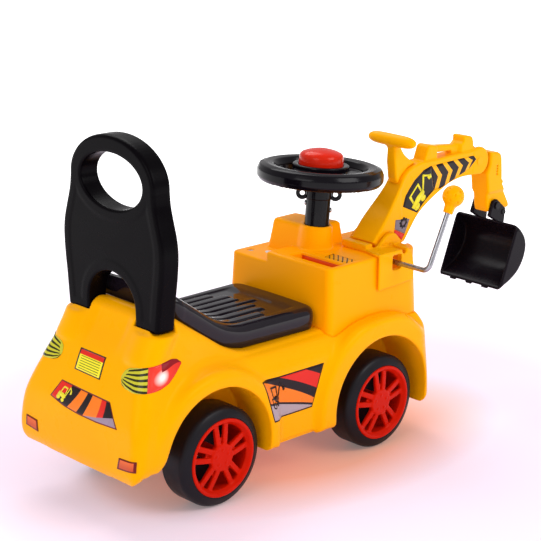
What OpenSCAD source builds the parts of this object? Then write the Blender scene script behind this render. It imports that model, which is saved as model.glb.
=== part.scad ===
// Toddler's ride-on digger: foot-to-floor car with a steering wheel, a backrest and a hand-worked digger arm.
// Millimetres, +X forward, +Y to the driver's left, +Z up, the floor at Z = 0.
// Every sub-part is drawn in the car's own layout, where X = 0 is the rear axle and Y = 0 the centre plane;
// car() then moves it so that the origin is under the middle of the whole object.

/* [Overall] */
// Distance between the rear and front axles
wheelbase = 311; // [300:1:320]
// Distance of the overall middle ahead of the rear axle
mid_ahead = 250.5; // [240:0.5:270]
// Distance of the overall middle to the right of the centre plane
mid_right = 26; // [20:1:32]
// Wall of the moulded shells
wall = 2.5; // [2:0.5:4]

/* [Body shell] */
// Rearmost point of the body behind the rear axle
body_back = 156; // [150:1:160]
// Foremost point of the body ahead of the rear axle
body_front = 416; // [405:1:425]
// Half width over the fenders
fender_half = 130; // [124:1:136]
// Half width of the side panels between the fenders
side_half = 119; // [112:1:122]
// Corner radius of the tail, seen from above
tail_corner = 24; // [18:1:50]
// Corner radius of the nose, seen from above
nose_corner = 36; // [25:1:50]
// Height of the sill above the floor
sill_z = 58; // [52:1:64]
// Height of the seat deck above the floor, at the front of the seat
deck_z = 197; // [190:1:205]
// Rise of the deck per millimetre towards the back
deck_rise = 0.71; // [0.6:0.01:0.8]
// Where the deck starts to rise, ahead of the rear axle
deck_knee = 48; // [30:1:70]
// Radius of the rear wheel arch
arch_r_rear = 93; // [90:1:96]
// Radius of the front wheel arch
arch_r_front = 96; // [94:1:100]

/* [Wheels] */
// Tyre radius
tyre_r = 70; // [65:1:75]
// Tyre width
tyre_w = 50; // [44:1:52]
// Outer face of the rims from the centre plane
rim_face = 121; // [118:1:124]
// Rim radius at the outer flange
rim_r = 55; // [52:1:58]
// Radius of the axles
axle_r = 5; // [4:0.5:6]
// Running clearance of a wheel on its axle
run_gap = 0.08; // [0.02:0.02:0.1]
// Number of double spokes in a rim
spokes = 5; // [5:1:5]

/* [Seat and backrest] */
// Half width of the seat
seat_half = 85; // [78:1:86]
// Thickness of the seat's side wall
seat_h = 34; // [28:1:38]
// Front end of the seat ahead of the rear axle
seat_front = 212; // [200:1:213]
// Height of the backrest's top
back_top = 500; // [480:1:520]
// Thickness of the backrest
back_t = 31; // [26:1:34]

/* [Console] */
// Rear wall of the console ahead of the rear axle
console_back = 214; // [213:1:216]
// Half width of the console at its top
console_half = 101; // [98:1:104]
// Height of the console's left deck
console_z = 271; // [266:1:274]
// Height of the console's right deck
console_z_right = 285; // [280:1:288]

/* [Steering] */
// Steering wheel radius
wheel_r = 92; // [86:1:95]
// Forward lean of the steering column
lean = 4; // [2:0.5:6]
// Radius of the steering column
column_r = 18; // [15:0.5:19]
// Distance of the steering wheel's centre up the column from its base
wheel_up = 130; // [125:1:135]
// Radius of the horn button
button_r = 32.5; // [30:0.5:34]
// Radius of the crank at the foot of the steering shaft
steer_crank = 16.4; // [15:0.1:18]
// Length of the knuckle arms
knuckle_arm = 32; // [30:1:34]

/* [Digger arm] */
// Centre plane of the arm, to the right of the car's centre plane
arm_right = 50; // [46:1:54]
// Thickness of the boom
boom_t = 30; // [26:1:32]
// Clearance between the arm's moving pieces
move_gap = 0.4; // [0.3:0.1:0.6]
// Outside width of the bucket
bucket_w = 124; // [116:1:130]
// Radius of the crank rod
rod_r = 3.75; // [3:0.25:4.5]

/* [Hidden] */
$fn = 64;

axle_z = tyre_r;
column_x = 286;
column_z = 270;
hub_drop = 44;                         // how far the steering wheel's hub reaches below its rim
kingpin_y = 60;
axle_end = 115.5;                      // the axles end inside the closed hubs
rear_inner = 62;                       // inner wall of the rear wheel housings
front_inner = 50;                      // inner wall of the front wheel housings
pan_z = 61;                            // underside of the floor pan
console_foot = 182;                    // the console drops this far through the deck
deck_screw_at = [238, 84];
boom_pivot = [362, 288];               // x, z
elbow = [577, 381];
bucket_pivot = [618, 305];
foot_w = 46;                           // width of the boom's foot
lug_t = 14;                            // thickness of the lug on the foot's right side
crank_axis = [347, 272];               // x, z of the rod where it leaves the foot
crank_in = 62;                         // inner end, to the right of the centre plane
crank_out = 166;                       // the upright part
crank_up = [385, 352];                 // x, z of the knob's collar
knob_grip = 10;                        // depth of the rod in the knob
leg_y = 71.5;                          // middle of a backrest leg
leg_x = -75.5;
leg_z = 252.8;                         // top of the legs' sockets
peg_r = 10.2;                          // pegs under the legs
pan_boss = 5;                          // height of the bosses round the pan's screws
pan_screw_at = [[-56, 40], [-56, -40], [110, 84], [110, -84], [178, 84], [178, -84]];
soft = 34;                             // half length of the blend at the seat deck's knee

module car() translate([-mid_ahead, mid_right, 0]) children();

// A profile drawn in (x, z) made t thick and centred on the plane y = at.
module side_plate(t, at = 0) translate([0, at + t / 2, 0]) rotate([90, 0, 0]) linear_extrude(t) children();

// Local +Z points outwards along the axle, from the centre plane.
module on_axle(x, side) translate([x, 0, axle_z]) rotate([-90 * side, 0, 0]) children();

// Local +Z points up the leaning steering column, from its base on the console.
module on_column() translate([column_x, 0, column_z]) rotate([0, lean, 0]) children();

module arm_at() translate([0, -arm_right, 0]) children();

function arc(c, r, a0, a1, n = 12) =
    [for (i = [0 : n]) c + r * [cos(a0 + (a1 - a0) * i / n), sin(a0 + (a1 - a0) * i / n)]];

// Plan of a rounded box from x0 to x1 with half width half, and corner radii r0 behind and r1 in front.
function rounded_plan(x0, x1, half, r0, r1) = concat(
    arc([x0 + r0, half - r0], r0, 180, 90, 8),
    arc([x1 - r1, half - r1], r1, 90, 0, 8),
    arc([x1 - r1, r1 - half], r1, 0, -90, 8),
    arc([x0 + r0, r0 - half], r0, -90, -180, 8)
);

// Height of the seat deck at x: level in front, a straight rise behind the knee, blended over 2 * soft.
function deck(x) =
    x > deck_knee + soft ? deck_z
    : x < deck_knee - soft ? deck_z + deck_rise * (deck_knee - x)
    : deck_z + deck_rise * pow(deck_knee + soft - x, 2) / (4 * soft);

// ---------------------------------------------------------------- body shell
crest_x = -60;

// Side view of the tub, from the sill up the sloping tail, over the crest and down the seat deck.
function tub_side() = concat(
    [[-100, sill_z + 9], [-body_back + 14, sill_z + 10], [-body_back + 4, sill_z + 18],
     [-body_back, sill_z + 38], [-149, 136], [-139, 166], [-125, 197], [-107, 228], [-92, 254], [-81, 271]],
    [for (x = [crest_x : 12 : 96]) [x, deck(x)]],
    [[216, deck_z], [body_front - 14, deck_z + 2], [body_front - 4, deck_z - 30], [body_front, 120],
     [body_front - 2, sill_z], [-60, sill_z]]
);

// Half of the front view of the tub: upright side, rounded shoulder, flat top.
function tub_half_section() = concat(
    [[0, sill_z], [side_half, sill_z], [side_half, 150]],
    arc([side_half - 42, 158], 42, 0, 62, 6),
    [[94, 215], [90, 292], [0, 292]]
);

module tub_plan() polygon(rounded_plan(-body_back, body_front, fender_half, tail_corner, nose_corner));

module fender_drum(x, z, r) {
    drum = concat([[0, 0], [r + 44, 0]], [[r + 40, side_half - 22]],
                  arc([r + 4, fender_half - 26], 26, 20, 90, 6), [[0, fender_half]]);
    for (s = [-1, 1]) translate([x, 0, z]) rotate([-90 * s, 0, 0]) rotate_extrude() polygon(drum);
}

module tub_solid(inset) {
    intersection() {
        union() {
            intersection() {
                side_plate(2 * fender_half) offset(delta = -inset) polygon(tub_side());
                for (s = [-1, 1]) rotate([90, 0, 90]) translate([0, 0, -body_back])
                    linear_extrude(body_front + body_back) mirror([s < 0 ? 1 : 0, 0])
                        offset(delta = -inset) polygon(concat([[-20, 292], [-20, sill_z]], tub_half_section()));
            }
            intersection() {
                union() {
                    fender_drum(-12, 80, arch_r_rear - inset);
                    fender_drum(303, 78, arch_r_front - inset);
                }
                translate([-200, -fender_half + inset, sill_z]) cube([700, 2 * (fender_half - inset), 160]);
            }
        }
        translate([0, 0, sill_z - 10]) linear_extrude(300) offset(delta = -inset) tub_plan();
    }
}

module arches(gap) {
    for (s = [-1, 1]) {
        translate([-12, 0, 80]) rotate([-90 * s, 0, 0])
            translate([0, 0, rear_inner - gap]) cylinder(r = arch_r_rear + gap, h = 100);
        translate([303, 0, 78]) rotate([-90 * s, 0, 0])
            translate([0, 0, front_inner - gap]) cylinder(r = arch_r_front + gap, h = 100);
    }
}

module leg_sockets() {
    for (s = [-1, 1]) translate([leg_x, s * leg_y, 205]) cylinder(r = 25, h = leg_z - 205);
}

// Posts inside the shell that the floor pan is screwed to.
module pan_posts() {
    for (p = pan_screw_at) translate([p[0], p[1], pan_z + pan_boss]) cylinder(r = 6, h = 220);
}

module pan_screw_shanks() {
    for (p = pan_screw_at) translate([p[0], p[1], pan_z + 1]) cylinder(r = 1.8, h = 16);
}

module body_shell() {
    color([1.0, 0.69, 0.0]) car() difference() {
        union() {
            tub_solid(0);
            leg_sockets();
        }
        difference() {
            translate([0, 0, -wall]) tub_solid(wall);
            arches(wall);
            leg_pockets(wall);
            pan_posts();
        }
        arches(0);
        leg_pockets(0);
        console_hole();
        pan_screw_shanks();
        steering_windows();
        translate([0, 100, axle_z]) rotate([90, 0, 0]) cylinder(r = axle_r + 1, h = 200);
    }
}

// The backrest's legs stand in pockets, and their pegs go down into the sockets.
module leg_pockets(gap) {
    for (s = [-1, 1]) {
        translate([leg_x, s * leg_y, 226 - gap]) cylinder(r = peg_r + gap, h = 60);
        translate([leg_x - back_t / 2 - 0.3 - gap, s * 73 - 26.5 - gap, leg_z - gap])
            cube([back_t + 0.6 + 2 * gap, 53 + 2 * gap, 60]);
    }
}

// Openings in the front housings' inner walls for the knuckles, their forks and the tie rod.
module steering_windows() {
    for (s = [-1, 1]) translate([262, s * 46 - 6, sill_z - 1]) cube([66, 12, 46]);
}

// The console drops through the front deck.
module console_hole() translate([0, 0, console_foot - 3]) linear_extrude(60) offset(delta = 0.3) console_plan(4);

// ---------------------------------------------------------------- floor pan and running gear
module floor_pan() {
    color([1.0, 0.66, 0.0]) car() difference() {
        union() {
            // flat pan with a lengthwise rib, clear of the wheel housings
            translate([-72, -56, pan_z]) cube([166, 112, 3]);
            translate([93, -side_half + wall + 0.2, pan_z]) cube([103, 2 * (side_half - wall - 0.2), 3]);
            translate([195, -46, pan_z]) cube([200, 92, 3]);
            translate([-72, -8, pan_z + 3]) cube([290, 16, 8]);
            for (p = pan_screw_at) translate([p[0], p[1], pan_z]) cylinder(r = 7, h = pan_boss);
            // posts that carry the rear axle
            for (s = [-1, 1]) translate([-14, s * 48 - 6, pan_z + 1]) cube([28, 12, 26]);
            // forks that carry the kingpins
            for (s = [-1, 1]) {
                translate([wheelbase - 11, s > 0 ? 36 : -69, 49]) cube([22, 33, 6]);
                translate([wheelbase - 11, s > 0 ? 36 : -69, 92]) cube([22, 33, 6]);
                translate([wheelbase - 11, s > 0 ? 36 : -46, 49]) cube([22, 10, 49]);
            }
            // bridge with the foot bearing of the steering shaft, standing behind the tie rod
            translate([shaft_x(104), 0, 104]) cylinder(r = 12, h = 10);
            translate([256, -42, 104]) cube([24, 84, 10]);
            for (s = [-1, 1]) translate([256, s * 38 - 4, pan_z + 1]) cube([12, 8, 53]);
        }
        translate([0, 60, axle_z]) rotate([90, 0, 0]) cylinder(r = axle_r, h = 120);
        for (s = [-1, 1]) translate([wheelbase, s * kingpin_y, 40]) cylinder(r = 4, h = 70);
        on_column() translate([0, 0, -220]) cylinder(r = axle_r + run_gap, h = 120);
        // room for the tie rod, the crank and the shaft's foot
        translate([238, -33, pan_z - 1]) cube([58, 66, 15]);
        pan_screw_shanks();
        for (p = pan_screw_at) translate([p[0], p[1], pan_z - 1]) cylinder(r = 4.3, h = 3.2);
    }
}

// Where the leaning shaft, and the pin of its crank, stand at height z.
function shaft_x(z) = column_x - (column_z - z) * tan(lean);
function crank_pin_x(z) = shaft_x(z) - steer_crank / cos(lean);

// Their heads lie sunk in the pan's underside.
module pan_screws() color([0.75, 0.76, 0.78]) car() {
    pan_screw_shanks();
    for (p = pan_screw_at) translate([p[0], p[1], pan_z + 0.2]) cylinder(r = 4, h = 2);
}

module rear_axle() color([0.75, 0.76, 0.78]) car()
    translate([0, axle_end, axle_z]) rotate([90, 0, 0]) cylinder(r = axle_r, h = 2 * axle_end);

// A wheel's rim; its hub is closed on the outer face.
module rim_shape(bore_r) {
    spoke_z = rim_face - 9;
    difference() {
        union() {
            // barrel with an outer flange
            rotate_extrude() polygon([[46, rim_face - 44], [50, rim_face - 46], [50, rim_face - 4],
                [rim_r, rim_face - 3], [rim_r, rim_face - 0.8], [rim_r - 0.8, rim_face], [rim_r - 5, rim_face],
                [46, rim_face - 6]]);
            // hub
            translate([0, 0, rim_face - 46]) cylinder(r = 11, h = 38);
            translate([0, 0, spoke_z - 2]) cylinder(r = 20, h = 8);
            translate([0, 0, spoke_z + 5]) cylinder(r1 = 20, r2 = 17, h = 2);
            // double spokes, each one a pair of tapering bars
            for (i = [0 : spokes - 1], s = [-1, 1]) rotate([0, 0, 90 + 360 / spokes * i])
                translate([0, 0, spoke_z]) linear_extrude(6)
                    polygon([[14, s * 1.5], [14, s * 9], [47.5, s * 13.5], [47.5, s * 5.5]]);
            // five fixing dots
            for (i = [0 : spokes - 1]) rotate([0, 0, 90 + 360 / spokes * i])
                translate([11, 0, spoke_z + 6]) cylinder(r = 1.8, h = 1.8, $fn = 24);
        }
        translate([0, 0, 60]) cylinder(r = bore_r, h = axle_end + 0.5 - 60);
    }
}

module tyre_shape() {
    inner = rim_face - tyre_w;
    profile = concat(
        [[50, inner + 4.5], [57, inner]],
        arc([tyre_r - 7, inner + 7], 7, -90, 0, 6),
        arc([tyre_r - 9, rim_face - 13], 9, 0, 70, 6),
        [[57, rim_face - 1], [rim_r + 0.2, rim_face - 1.6], [rim_r + 0.2, rim_face - 3.2], [50, rim_face - 4.4]]
    );
    // hollow, and closed by the rim's barrel
    rotate_extrude($fn = 96) difference() {
        polygon(profile);
        polygon([[48, inner + 9], [63, inner + 6], [66, inner + 12], [66, rim_face - 16], [62, rim_face - 9],
                 [48, rim_face - 9]]);
    }
    // back of the wheel, closed down to the rim's hub
    translate([0, 0, inner + 1.6]) difference() {
        cylinder(r = 53, h = 2.3);
        translate([0, 0, -1]) cylinder(r = 11.3, h = 5);
    }
}

module rim(x, side) color([0.86, 0.10, 0.02]) car() on_axle(x, side) rim_shape(axle_r + run_gap);
module tyre(x, side) color([0.05, 0.05, 0.055]) car() on_axle(x, side) tyre_shape();

module rim_rear_left() rim(0, 1);
module rim_rear_right() rim(0, -1);
module rim_front_left() rim(wheelbase, 1);
module rim_front_right() rim(wheelbase, -1);
module tyre_rear_left() tyre(0, 1);
module tyre_rear_right() tyre(0, -1);
module tyre_front_left() tyre(wheelbase, 1);
module tyre_front_right() tyre(wheelbase, -1);

// Steering knuckle: a block on the kingpin, a socket for the stub axle and an arm to the rear.
module knuckle(s) color([0.10, 0.10, 0.11]) car() difference() {
    union() {
        translate([wheelbase, s * kingpin_y, 55 + move_gap]) cylinder(r = 9, h = 37 - 2 * move_gap);
        on_axle(wheelbase, s) translate([0, 0, kingpin_y]) cylinder(r = 9, h = 14.6);
        translate([wheelbase - knuckle_arm, s * kingpin_y - 4, 78]) cube([knuckle_arm, 8, 6]);
        translate([wheelbase - knuckle_arm, s * kingpin_y, 78]) cylinder(r = 6, h = 6);
        translate([wheelbase - knuckle_arm, s * kingpin_y, 69]) cylinder(r = 3, h = 10);
    }
    translate([wheelbase, s * kingpin_y, 40]) cylinder(r = 4 + run_gap, h = 70);
    on_axle(wheelbase, s) translate([0, 0, kingpin_y + 5]) cylinder(r = axle_r, h = 20);
}
module knuckle_left() knuckle(1);
module knuckle_right() knuckle(-1);

module stub(s) color([0.75, 0.76, 0.78]) car()
    on_axle(wheelbase, s) translate([0, 0, kingpin_y + 5]) cylinder(r = axle_r, h = axle_end - kingpin_y - 5);
module stub_left() stub(1);
module stub_right() stub(-1);

module kingpin(s) color([0.75, 0.76, 0.78]) car() translate([wheelbase, s * kingpin_y, 47]) {
    cylinder(r = 4, h = 54);
    cylinder(r = 6.5, h = 2);
    translate([0, 0, 51]) cylinder(r = 6.5, h = 3);
}
module kingpin_left() kingpin(1);
module kingpin_right() kingpin(-1);

// The tie rod joins the knuckle arms; a tab behind it takes the crank pin. Its holes are slots along X,
// because the pins swing on arcs while the rod slides straight across.
module tie_rod() color([0.75, 0.76, 0.78]) car() difference() {
    union() {
        translate([wheelbase - knuckle_arm - 6, -kingpin_y - 7, 70]) cube([14, 2 * kingpin_y + 14, 4]);
        translate([crank_pin_x(72) - 8, -9, 70]) cube([32, 18, 4]);
    }
    for (s = [-1, 1]) slot_hole(wheelbase - knuckle_arm, s * kingpin_y, 3);
    slot_hole(crank_pin_x(72), 0, 3);
}

module slot_hole(x, y, r) for (dx = [-0.4, 1.4]) translate([x, y, 60]) {
    translate([dx, 0, 0]) cylinder(r = r + 0.3, h = 20);
    translate([-0.4, -r - 0.3, 0]) cube([1.8, 2 * r + 0.6, 20]);
}

// ---------------------------------------------------------------- seat and backrest
seat_back = -54;

function seat_side() = concat(
    [for (x = [seat_front : -10 : seat_back]) [x, deck(x) + 0.4]],
    [[seat_back - 1, deck(seat_back) + seat_h - 8], [seat_back + 6, deck(seat_back) + seat_h - 1]],
    [for (x = [seat_back + 16 : 10 : seat_front - 8]) [x, deck(x) + seat_h]],
    [[seat_front, deck_z + seat_h - 7]]
);

function seat_plan() = concat(
    arc([-36, seat_half - 28], 18, 180, 80, 6),
    arc([seat_front - 22, seat_half - 22], 22, 90, 0, 8),
    arc([seat_front - 22, 22 - seat_half], 22, 0, -90, 8),
    arc([-36, 28 - seat_half], 18, -80, -180, 6)
);

module seat_solid(inset) intersection() {
    side_plate(2 * (seat_half - inset)) offset(delta = -inset) polygon(seat_side());
    translate([0, 0, deck_z - 5]) linear_extrude(200) offset(delta = -inset) polygon(seat_plan());
}

// The seat is a thick shell, open underneath.
module seat() color([0.06, 0.06, 0.07]) car() difference() {
    seat_solid(0);
    translate([0, 0, -5]) seat_solid(wall);
}

// Half width of the backrest at height z, through hand-set waypoints.
back_half = [[253, 92], [300, 97], [345, 102], [375, 100], [405, 92], [425, 86.5], [437, 85.5]];

module backrest_face() {
    difference() {
        union() {
            polygon(concat([for (p = back_half) [p[1], p[0]]],
                           [for (i = [len(back_half) - 1 : -1 : 0]) [-back_half[i][1], back_half[i][0]]]));
            translate([0, 440]) resize([171, 2 * (back_top - 440)]) circle(60);
        }
        translate([0, 440]) resize([126, 74]) circle(40);
        // opening between the legs, with a round top
        polygon([[-51, 240], [51, 240], [48, 275], [-48, 275]]);
        translate([0, 275]) resize([96, 88]) circle(44);
    }
}

// Blow-moulded, so hollow.
module backrest() color([0.06, 0.06, 0.07]) car() {
    difference() {
        translate([leg_x - back_t / 2, 0, 0]) rotate([90, 0, 90]) linear_extrude(back_t) backrest_face();
        translate([leg_x - back_t / 2 + wall, 0, 0]) rotate([90, 0, 90]) linear_extrude(back_t - 2 * wall)
            offset(delta = -wall) backrest_face();
    }
    for (s = [-1, 1]) translate([leg_x, s * leg_y, 227]) cylinder(r = peg_r, h = 40);
}

// ---------------------------------------------------------------- console
module console_plan(grow)
    polygon(rounded_plan(console_back - grow / 2, 407 + grow, console_half + grow, 10, 30));

module console_box(inset) {
    hull() {
        translate([0, 0, console_foot]) linear_extrude(1) offset(delta = -inset) console_plan(4);
        translate([0, 0, console_z - inset - 1]) linear_extrude(1) offset(delta = -inset) console_plan(0);
    }
    intersection() {
        translate([0, 0, console_z - 20]) linear_extrude(console_z_right - console_z + 20 - inset)
            offset(delta = -inset) console_plan(0);
        translate([200, -console_half, 0]) cube([250, console_half + 27 - inset, 400]);
    }
}

// Raised cowl ahead of the steering column.
module cowl(inset) hull() {
    translate([0, 0, console_z - 12]) linear_extrude(1) offset(delta = -inset)
        polygon([[262, 66], [262, -6], [352, -6], [372, 20], [372, 66]]);
    translate([0, 0, 318 - inset]) linear_extrude(1) offset(delta = -inset)
        polygon([[270, 58], [270, -4], [345, -4], [360, 18], [360, 58]]);
}

module column_boss(inset) on_column() translate([0, 0, -12])
    cylinder(r1 = 28.5 - inset, r2 = 24.5 - inset, h = 60 - inset);

module console() color([1.0, 0.62, 0.0]) car() difference() {
    union() {
        console_box(0);
        cowl(0);
        column_boss(0);
    }
    difference() {
        union() {
            translate([0, 0, -wall]) console_box(wall);
            translate([0, 0, -0.01]) cowl(wall);
        }
        // floor of the tray and of the well under the arm
        translate([224, -96, 262 - wall]) cube([30, 91, 40]);
        translate([326, -102, 256 - wall]) cube([90, 91, 60]);
        // boss under the deck screw
        translate([deck_screw_at[0], deck_screw_at[1], console_z - 18]) cylinder(r = 8, h = 30);
    }
    on_column() translate([0, 0, -60]) cylinder(r = column_r + move_gap, h = 140);
    deck_screw_hole();
    // tray across the right deck
    translate([228, -92, 262]) cube([22, 83, 40]);
    // well under the arm, open to the front for the boom and to the right for the crank rod
    translate([330, -97, 256]) cube([52, 82, 60]);
    translate([380, -arm_right - 25, 258]) cube([40, 50, 60]);
    translate([335, -120, 261]) cube([23, 40, 24]);
}

module deck_screw_hole() translate([deck_screw_at[0], deck_screw_at[1], console_z]) {
    translate([0, 0, -3.2]) cylinder(r = 5, h = 10);
    translate([0, 0, -15]) cylinder(r = 1.8, h = 20);
}

module deck_screw() color([0.75, 0.76, 0.78]) car() translate([deck_screw_at[0], deck_screw_at[1], console_z]) {
    translate([0, 0, -3.2]) cylinder(r = 4.2, h = 2);
    translate([0, 0, -15]) cylinder(r = 1.8, h = 12);
}

// ---------------------------------------------------------------- steering
module steering_shaft() color([0.75, 0.76, 0.78]) car() on_column() {
    translate([0, 0, -192]) cylinder(r = axle_r, h = 192 + 100);
    translate([-steer_crank - 5, -5, -192]) cube([steer_crank + 5, 10, 5]);
    translate([-steer_crank, 0, -205]) cylinder(r = 3, h = 15);
}

module steering_column() color([0.06, 0.06, 0.07]) car() on_column() difference() {
    translate([0, 0, 20]) cylinder(r = column_r, h = wheel_up - hub_drop - 20);
    translate([0, 0, 10]) cylinder(r = axle_r, h = 90);
}

// Two screws through the column into the shaft; each entry is a direction round the column and a height.
module column_screws() color([0.80, 0.81, 0.83]) car() on_column()
    for (p = [[136, 79], [-44, 70]]) rotate([0, 0, p[0]]) translate([column_r, 0, p[1]]) rotate([0, 90, 0]) {
        cylinder(r = 3.6, h = 1.6);
        translate([0, 0, 1.6]) cylinder(r1 = 3.6, r2 = 2, h = 0.8);
    }

module steering_wheel() color([0.06, 0.06, 0.07]) car() on_column() translate([0, 0, wheel_up]) difference() {
    union() {
        // rim
        rotate_extrude($fn = 96) polygon(concat(
            [[wheel_r - 22, -2], [wheel_r - 20, -19], [wheel_r - 5, -23], [wheel_r, -15]],
            arc([wheel_r - 8, -2], 8, 0, 90, 5), arc([wheel_r - 15, -1], 7, 90, 180, 5)));
        // hub and collar
        translate([0, 0, -20]) cylinder(r1 = 22, r2 = 38, h = 14);
        translate([0, 0, -6.5]) cylinder(r = 40, h = 11.5);
        translate([0, 0, -hub_drop]) cylinder(r = column_r + 1.5, h = hub_drop - 10);
        // spokes
        for (a = [180, 55, -55]) rotate([0, 0, a]) translate([30, -16, -12]) cube([wheel_r - 48, 32, 10]);
        // lugs under the hub
        for (a = [-44, 136]) rotate([0, 0, a]) translate([column_r + 6, 3, -37]) rotate([90, 0, 0]) difference() {
            cylinder(r = 9, h = 6);
            translate([0, 0, -1]) cylinder(r = 3.5, h = 8);
        }
    }
    // socket of the shaft
    translate([0, 0, -hub_drop - 1]) cylinder(r = axle_r, h = 16);
    // the rim is a channel, open below
    rotate_extrude($fn = 96) polygon([[wheel_r - 17, -30], [wheel_r - 16, -9], [wheel_r - 9, -6],
                                      [wheel_r - 5, -10], [wheel_r - 5, -30]]);
    // well of the horn button
    translate([0, 0, -6]) cylinder(r = button_r + 0.5, h = 20);
}

// A domed cap, open below.
module horn_button() color([0.90, 0.12, 0.03]) car() on_column() translate([0, 0, wheel_up - 2])
    rotate_extrude() difference() {
        polygon(concat(
            [[0, 0], [button_r, 0], [button_r, 20]],
            arc([button_r - 4, 20], 4, 0, 60, 4),
            [for (i = [1 : 8]) [(button_r - 5) * cos(i * 90 / 8), 24 + 9 * sin(i * 90 / 8)]]
        ));
        translate([-1, -1]) square([button_r - wall + 1, 21]);
    }

// ---------------------------------------------------------------- digger arm
saddle_z = console_z_right + 0.2;
saddle_t = 4.8;
saddle_top = saddle_z + saddle_t;

module arm_bracket() color([1.0, 0.66, 0.0]) car() difference() {
    union() {
        // saddle on the deck, its rear edge sweeping forward to the left
        translate([0, 0, saddle_z]) linear_extrude(saddle_t)
            polygon([[384, -16], [331, -16], [324, -42], [316, -72], [310, -96], [309, -106], [372, -106], [384, -92]]);
        // skirt down the right wall
        side_plate(3.4, -106.3) polygon([[309, saddle_top], [309, 236], [345, 237.5], [384, 240], [384, 262],
                                         [381, 276], [374, 287], [370, saddle_top]]);
        translate([309, -108, saddle_z]) cube([62, 4, saddle_t]);
        // lip behind the boom's foot
        translate([316, -74, saddle_z]) cube([15, 50, 11.5]);
        // ears that carry the boom
        for (s = [-1, 1]) side_plate(7, -arm_right + s * (boom_t / 2 + 13)) {
            polygon([[328, saddle_z], [337, 293], [346, 301], [354, 306.5], [362, 308], [371, 306.5], [378, 300],
                     [382, 292], [383, saddle_z]]);
            translate(boom_pivot) circle(10);
        }
    }
    // mouth for the boom's foot, and the slot that the crank rod moves in
    translate([333, -arm_right - 23.6, 270]) cube([62, 47.2, 25]);
    translate([337, -130, 262]) cube([19, 28, 22]);
    translate([boom_pivot[0], 0, boom_pivot[1]]) rotate([90, 0, 0]) cylinder(r = 5, h = 110);
}

module boom_pin() color([1.0, 0.68, 0.0]) car() translate([boom_pivot[0], -18.5, boom_pivot[1]])
    rotate([90, 0, 0]) cylinder(r = 5, h = 63);

boom_lower = [[401, 287], [416, 303], [435, 320], [459, 334], [487, 348], [510, 357], [535, 362], [560, 361]];
boom_rear = [[333, 297], [354, 321], [376, 345], [393, 365], [405, 382], [418, 392], [440, 398]];

module boom_side() polygon(concat(
    arc(boom_pivot, 17, -150, -30, 8),
    boom_lower,
    arc(elbow, 22, -75, 95, 10),
    [[556, 400]],
    [for (i = [len(boom_rear) - 1 : -1 : 0]) boom_rear[i]]
));

// Dummy ram on top of the boom: a rod between two blocks.
module dummy_ram() {
    polygon([[450, 398], [461, 421], [478, 418], [494, 416], [538, 413], [541, 425], [562, 419], [566, 400],
             [556, 396]]);
}

module boom() color([1.0, 0.68, 0.0]) car() arm_at() difference() {
    union() {
        difference() {
            side_plate(boom_t) boom_side();
            side_plate(boom_t - 2 * wall) offset(delta = -wall) boom_side();
        }
        // flared foot
        difference() {
            side_plate(foot_w) intersection() {
                boom_side();
                translate([320, 240]) square([70, 110]);
            }
            side_plate(foot_w - 2 * wall) offset(delta = -wall) intersection() {
                boom_side();
                translate([320, 240]) square([70, 110]);
            }
        }
        difference() {
            side_plate(boom_t - 6) dummy_ram();
            side_plate(40) polygon([[483, 399], [483, 405], [517, 404], [517, 398]]);
        }
        // lug that holds the crank rod, beside the foot's pivot
        side_plate(lug_t, lug_t / 2 - foot_w / 2) hull() {
            translate(boom_pivot) circle(14);
            translate(crank_axis) circle(8);
        }
        // bosses of the pivots
        side_plate(44) translate(boom_pivot) circle(10);
        side_plate(boom_t - 1) translate(elbow) circle(11);
    }
    // fork at the elbow
    side_plate(14 + 2 * move_gap) translate(elbow) circle(40);
    translate([boom_pivot[0], 40, boom_pivot[1]]) rotate([90, 0, 0]) cylinder(r = 5 + run_gap, h = 80);
    translate([elbow[0], 40, elbow[1]]) rotate([90, 0, 0]) cylinder(r = 4, h = 80);
    translate([crank_axis[0], arm_right - crank_in, crank_axis[1]]) rotate([90, 0, 0]) cylinder(r = rod_r, h = 30);
}

module arm_handle() color([1.0, 0.68, 0.0]) car() arm_at() {
    // bar
    translate([391, 36, 437]) rotate([90, 0, 0]) cylinder(r = 9.5, h = 72);
    for (s = [-1, 1]) translate([391, s * 36, 437]) sphere(r = 9.5);
    // stem with a gusset to the boom
    side_plate(16) polygon([[386, 434], [399, 436], [408, 420], [424, 404], [436, 398.2], [418, 392.4],
                            [405, 382.4], [397, 371], [391, 380]]);
}

module elbow_pin() color([1.0, 0.68, 0.0]) car() arm_at() translate([elbow[0], 15.8, elbow[1]])
    rotate([90, 0, 0]) {
        cylinder(r = 4, h = 31.6);
        cylinder(r = 6.5, h = 0.8);
        translate([0, 0, 30.8]) cylinder(r = 6.5, h = 0.8);
    }

module stick_side() polygon([[594, 358], [603, 297], [657, 295], [656, 303], [634, 337], [637, 341], [632, 345],
                             [629, 380], [622, 389], [601.5, 392], [600.5, 372]]);

module stick_head() intersection() {
    stick_side();
    translate([590, 325]) square([80, 80]);
}

module stick() color([1.0, 0.68, 0.0]) car() arm_at() difference() {
    union() {
        // hollow, its head wider than the end that hangs between the bucket's lugs
        difference() {
            union() {
                side_plate(28) stick_side();
                side_plate(35) stick_head();
            }
            side_plate(28 - 2 * wall) offset(delta = -wall) stick_side();
            side_plate(35 - 2 * wall) offset(delta = -wall) stick_head();
        }
        side_plate(14) hull() {
            translate(elbow) circle(14);
            translate([600, 352]) square([8, 38]);
        }
        side_plate(28 - 1) translate(bucket_pivot) circle(9);
    }
    translate([elbow[0], 40, elbow[1]]) rotate([90, 0, 0]) cylinder(r = 4 + run_gap, h = 80);
    translate([bucket_pivot[0], 40, bucket_pivot[1]]) rotate([90, 0, 0]) cylinder(r = 4 + run_gap, h = 80);
}

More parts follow.
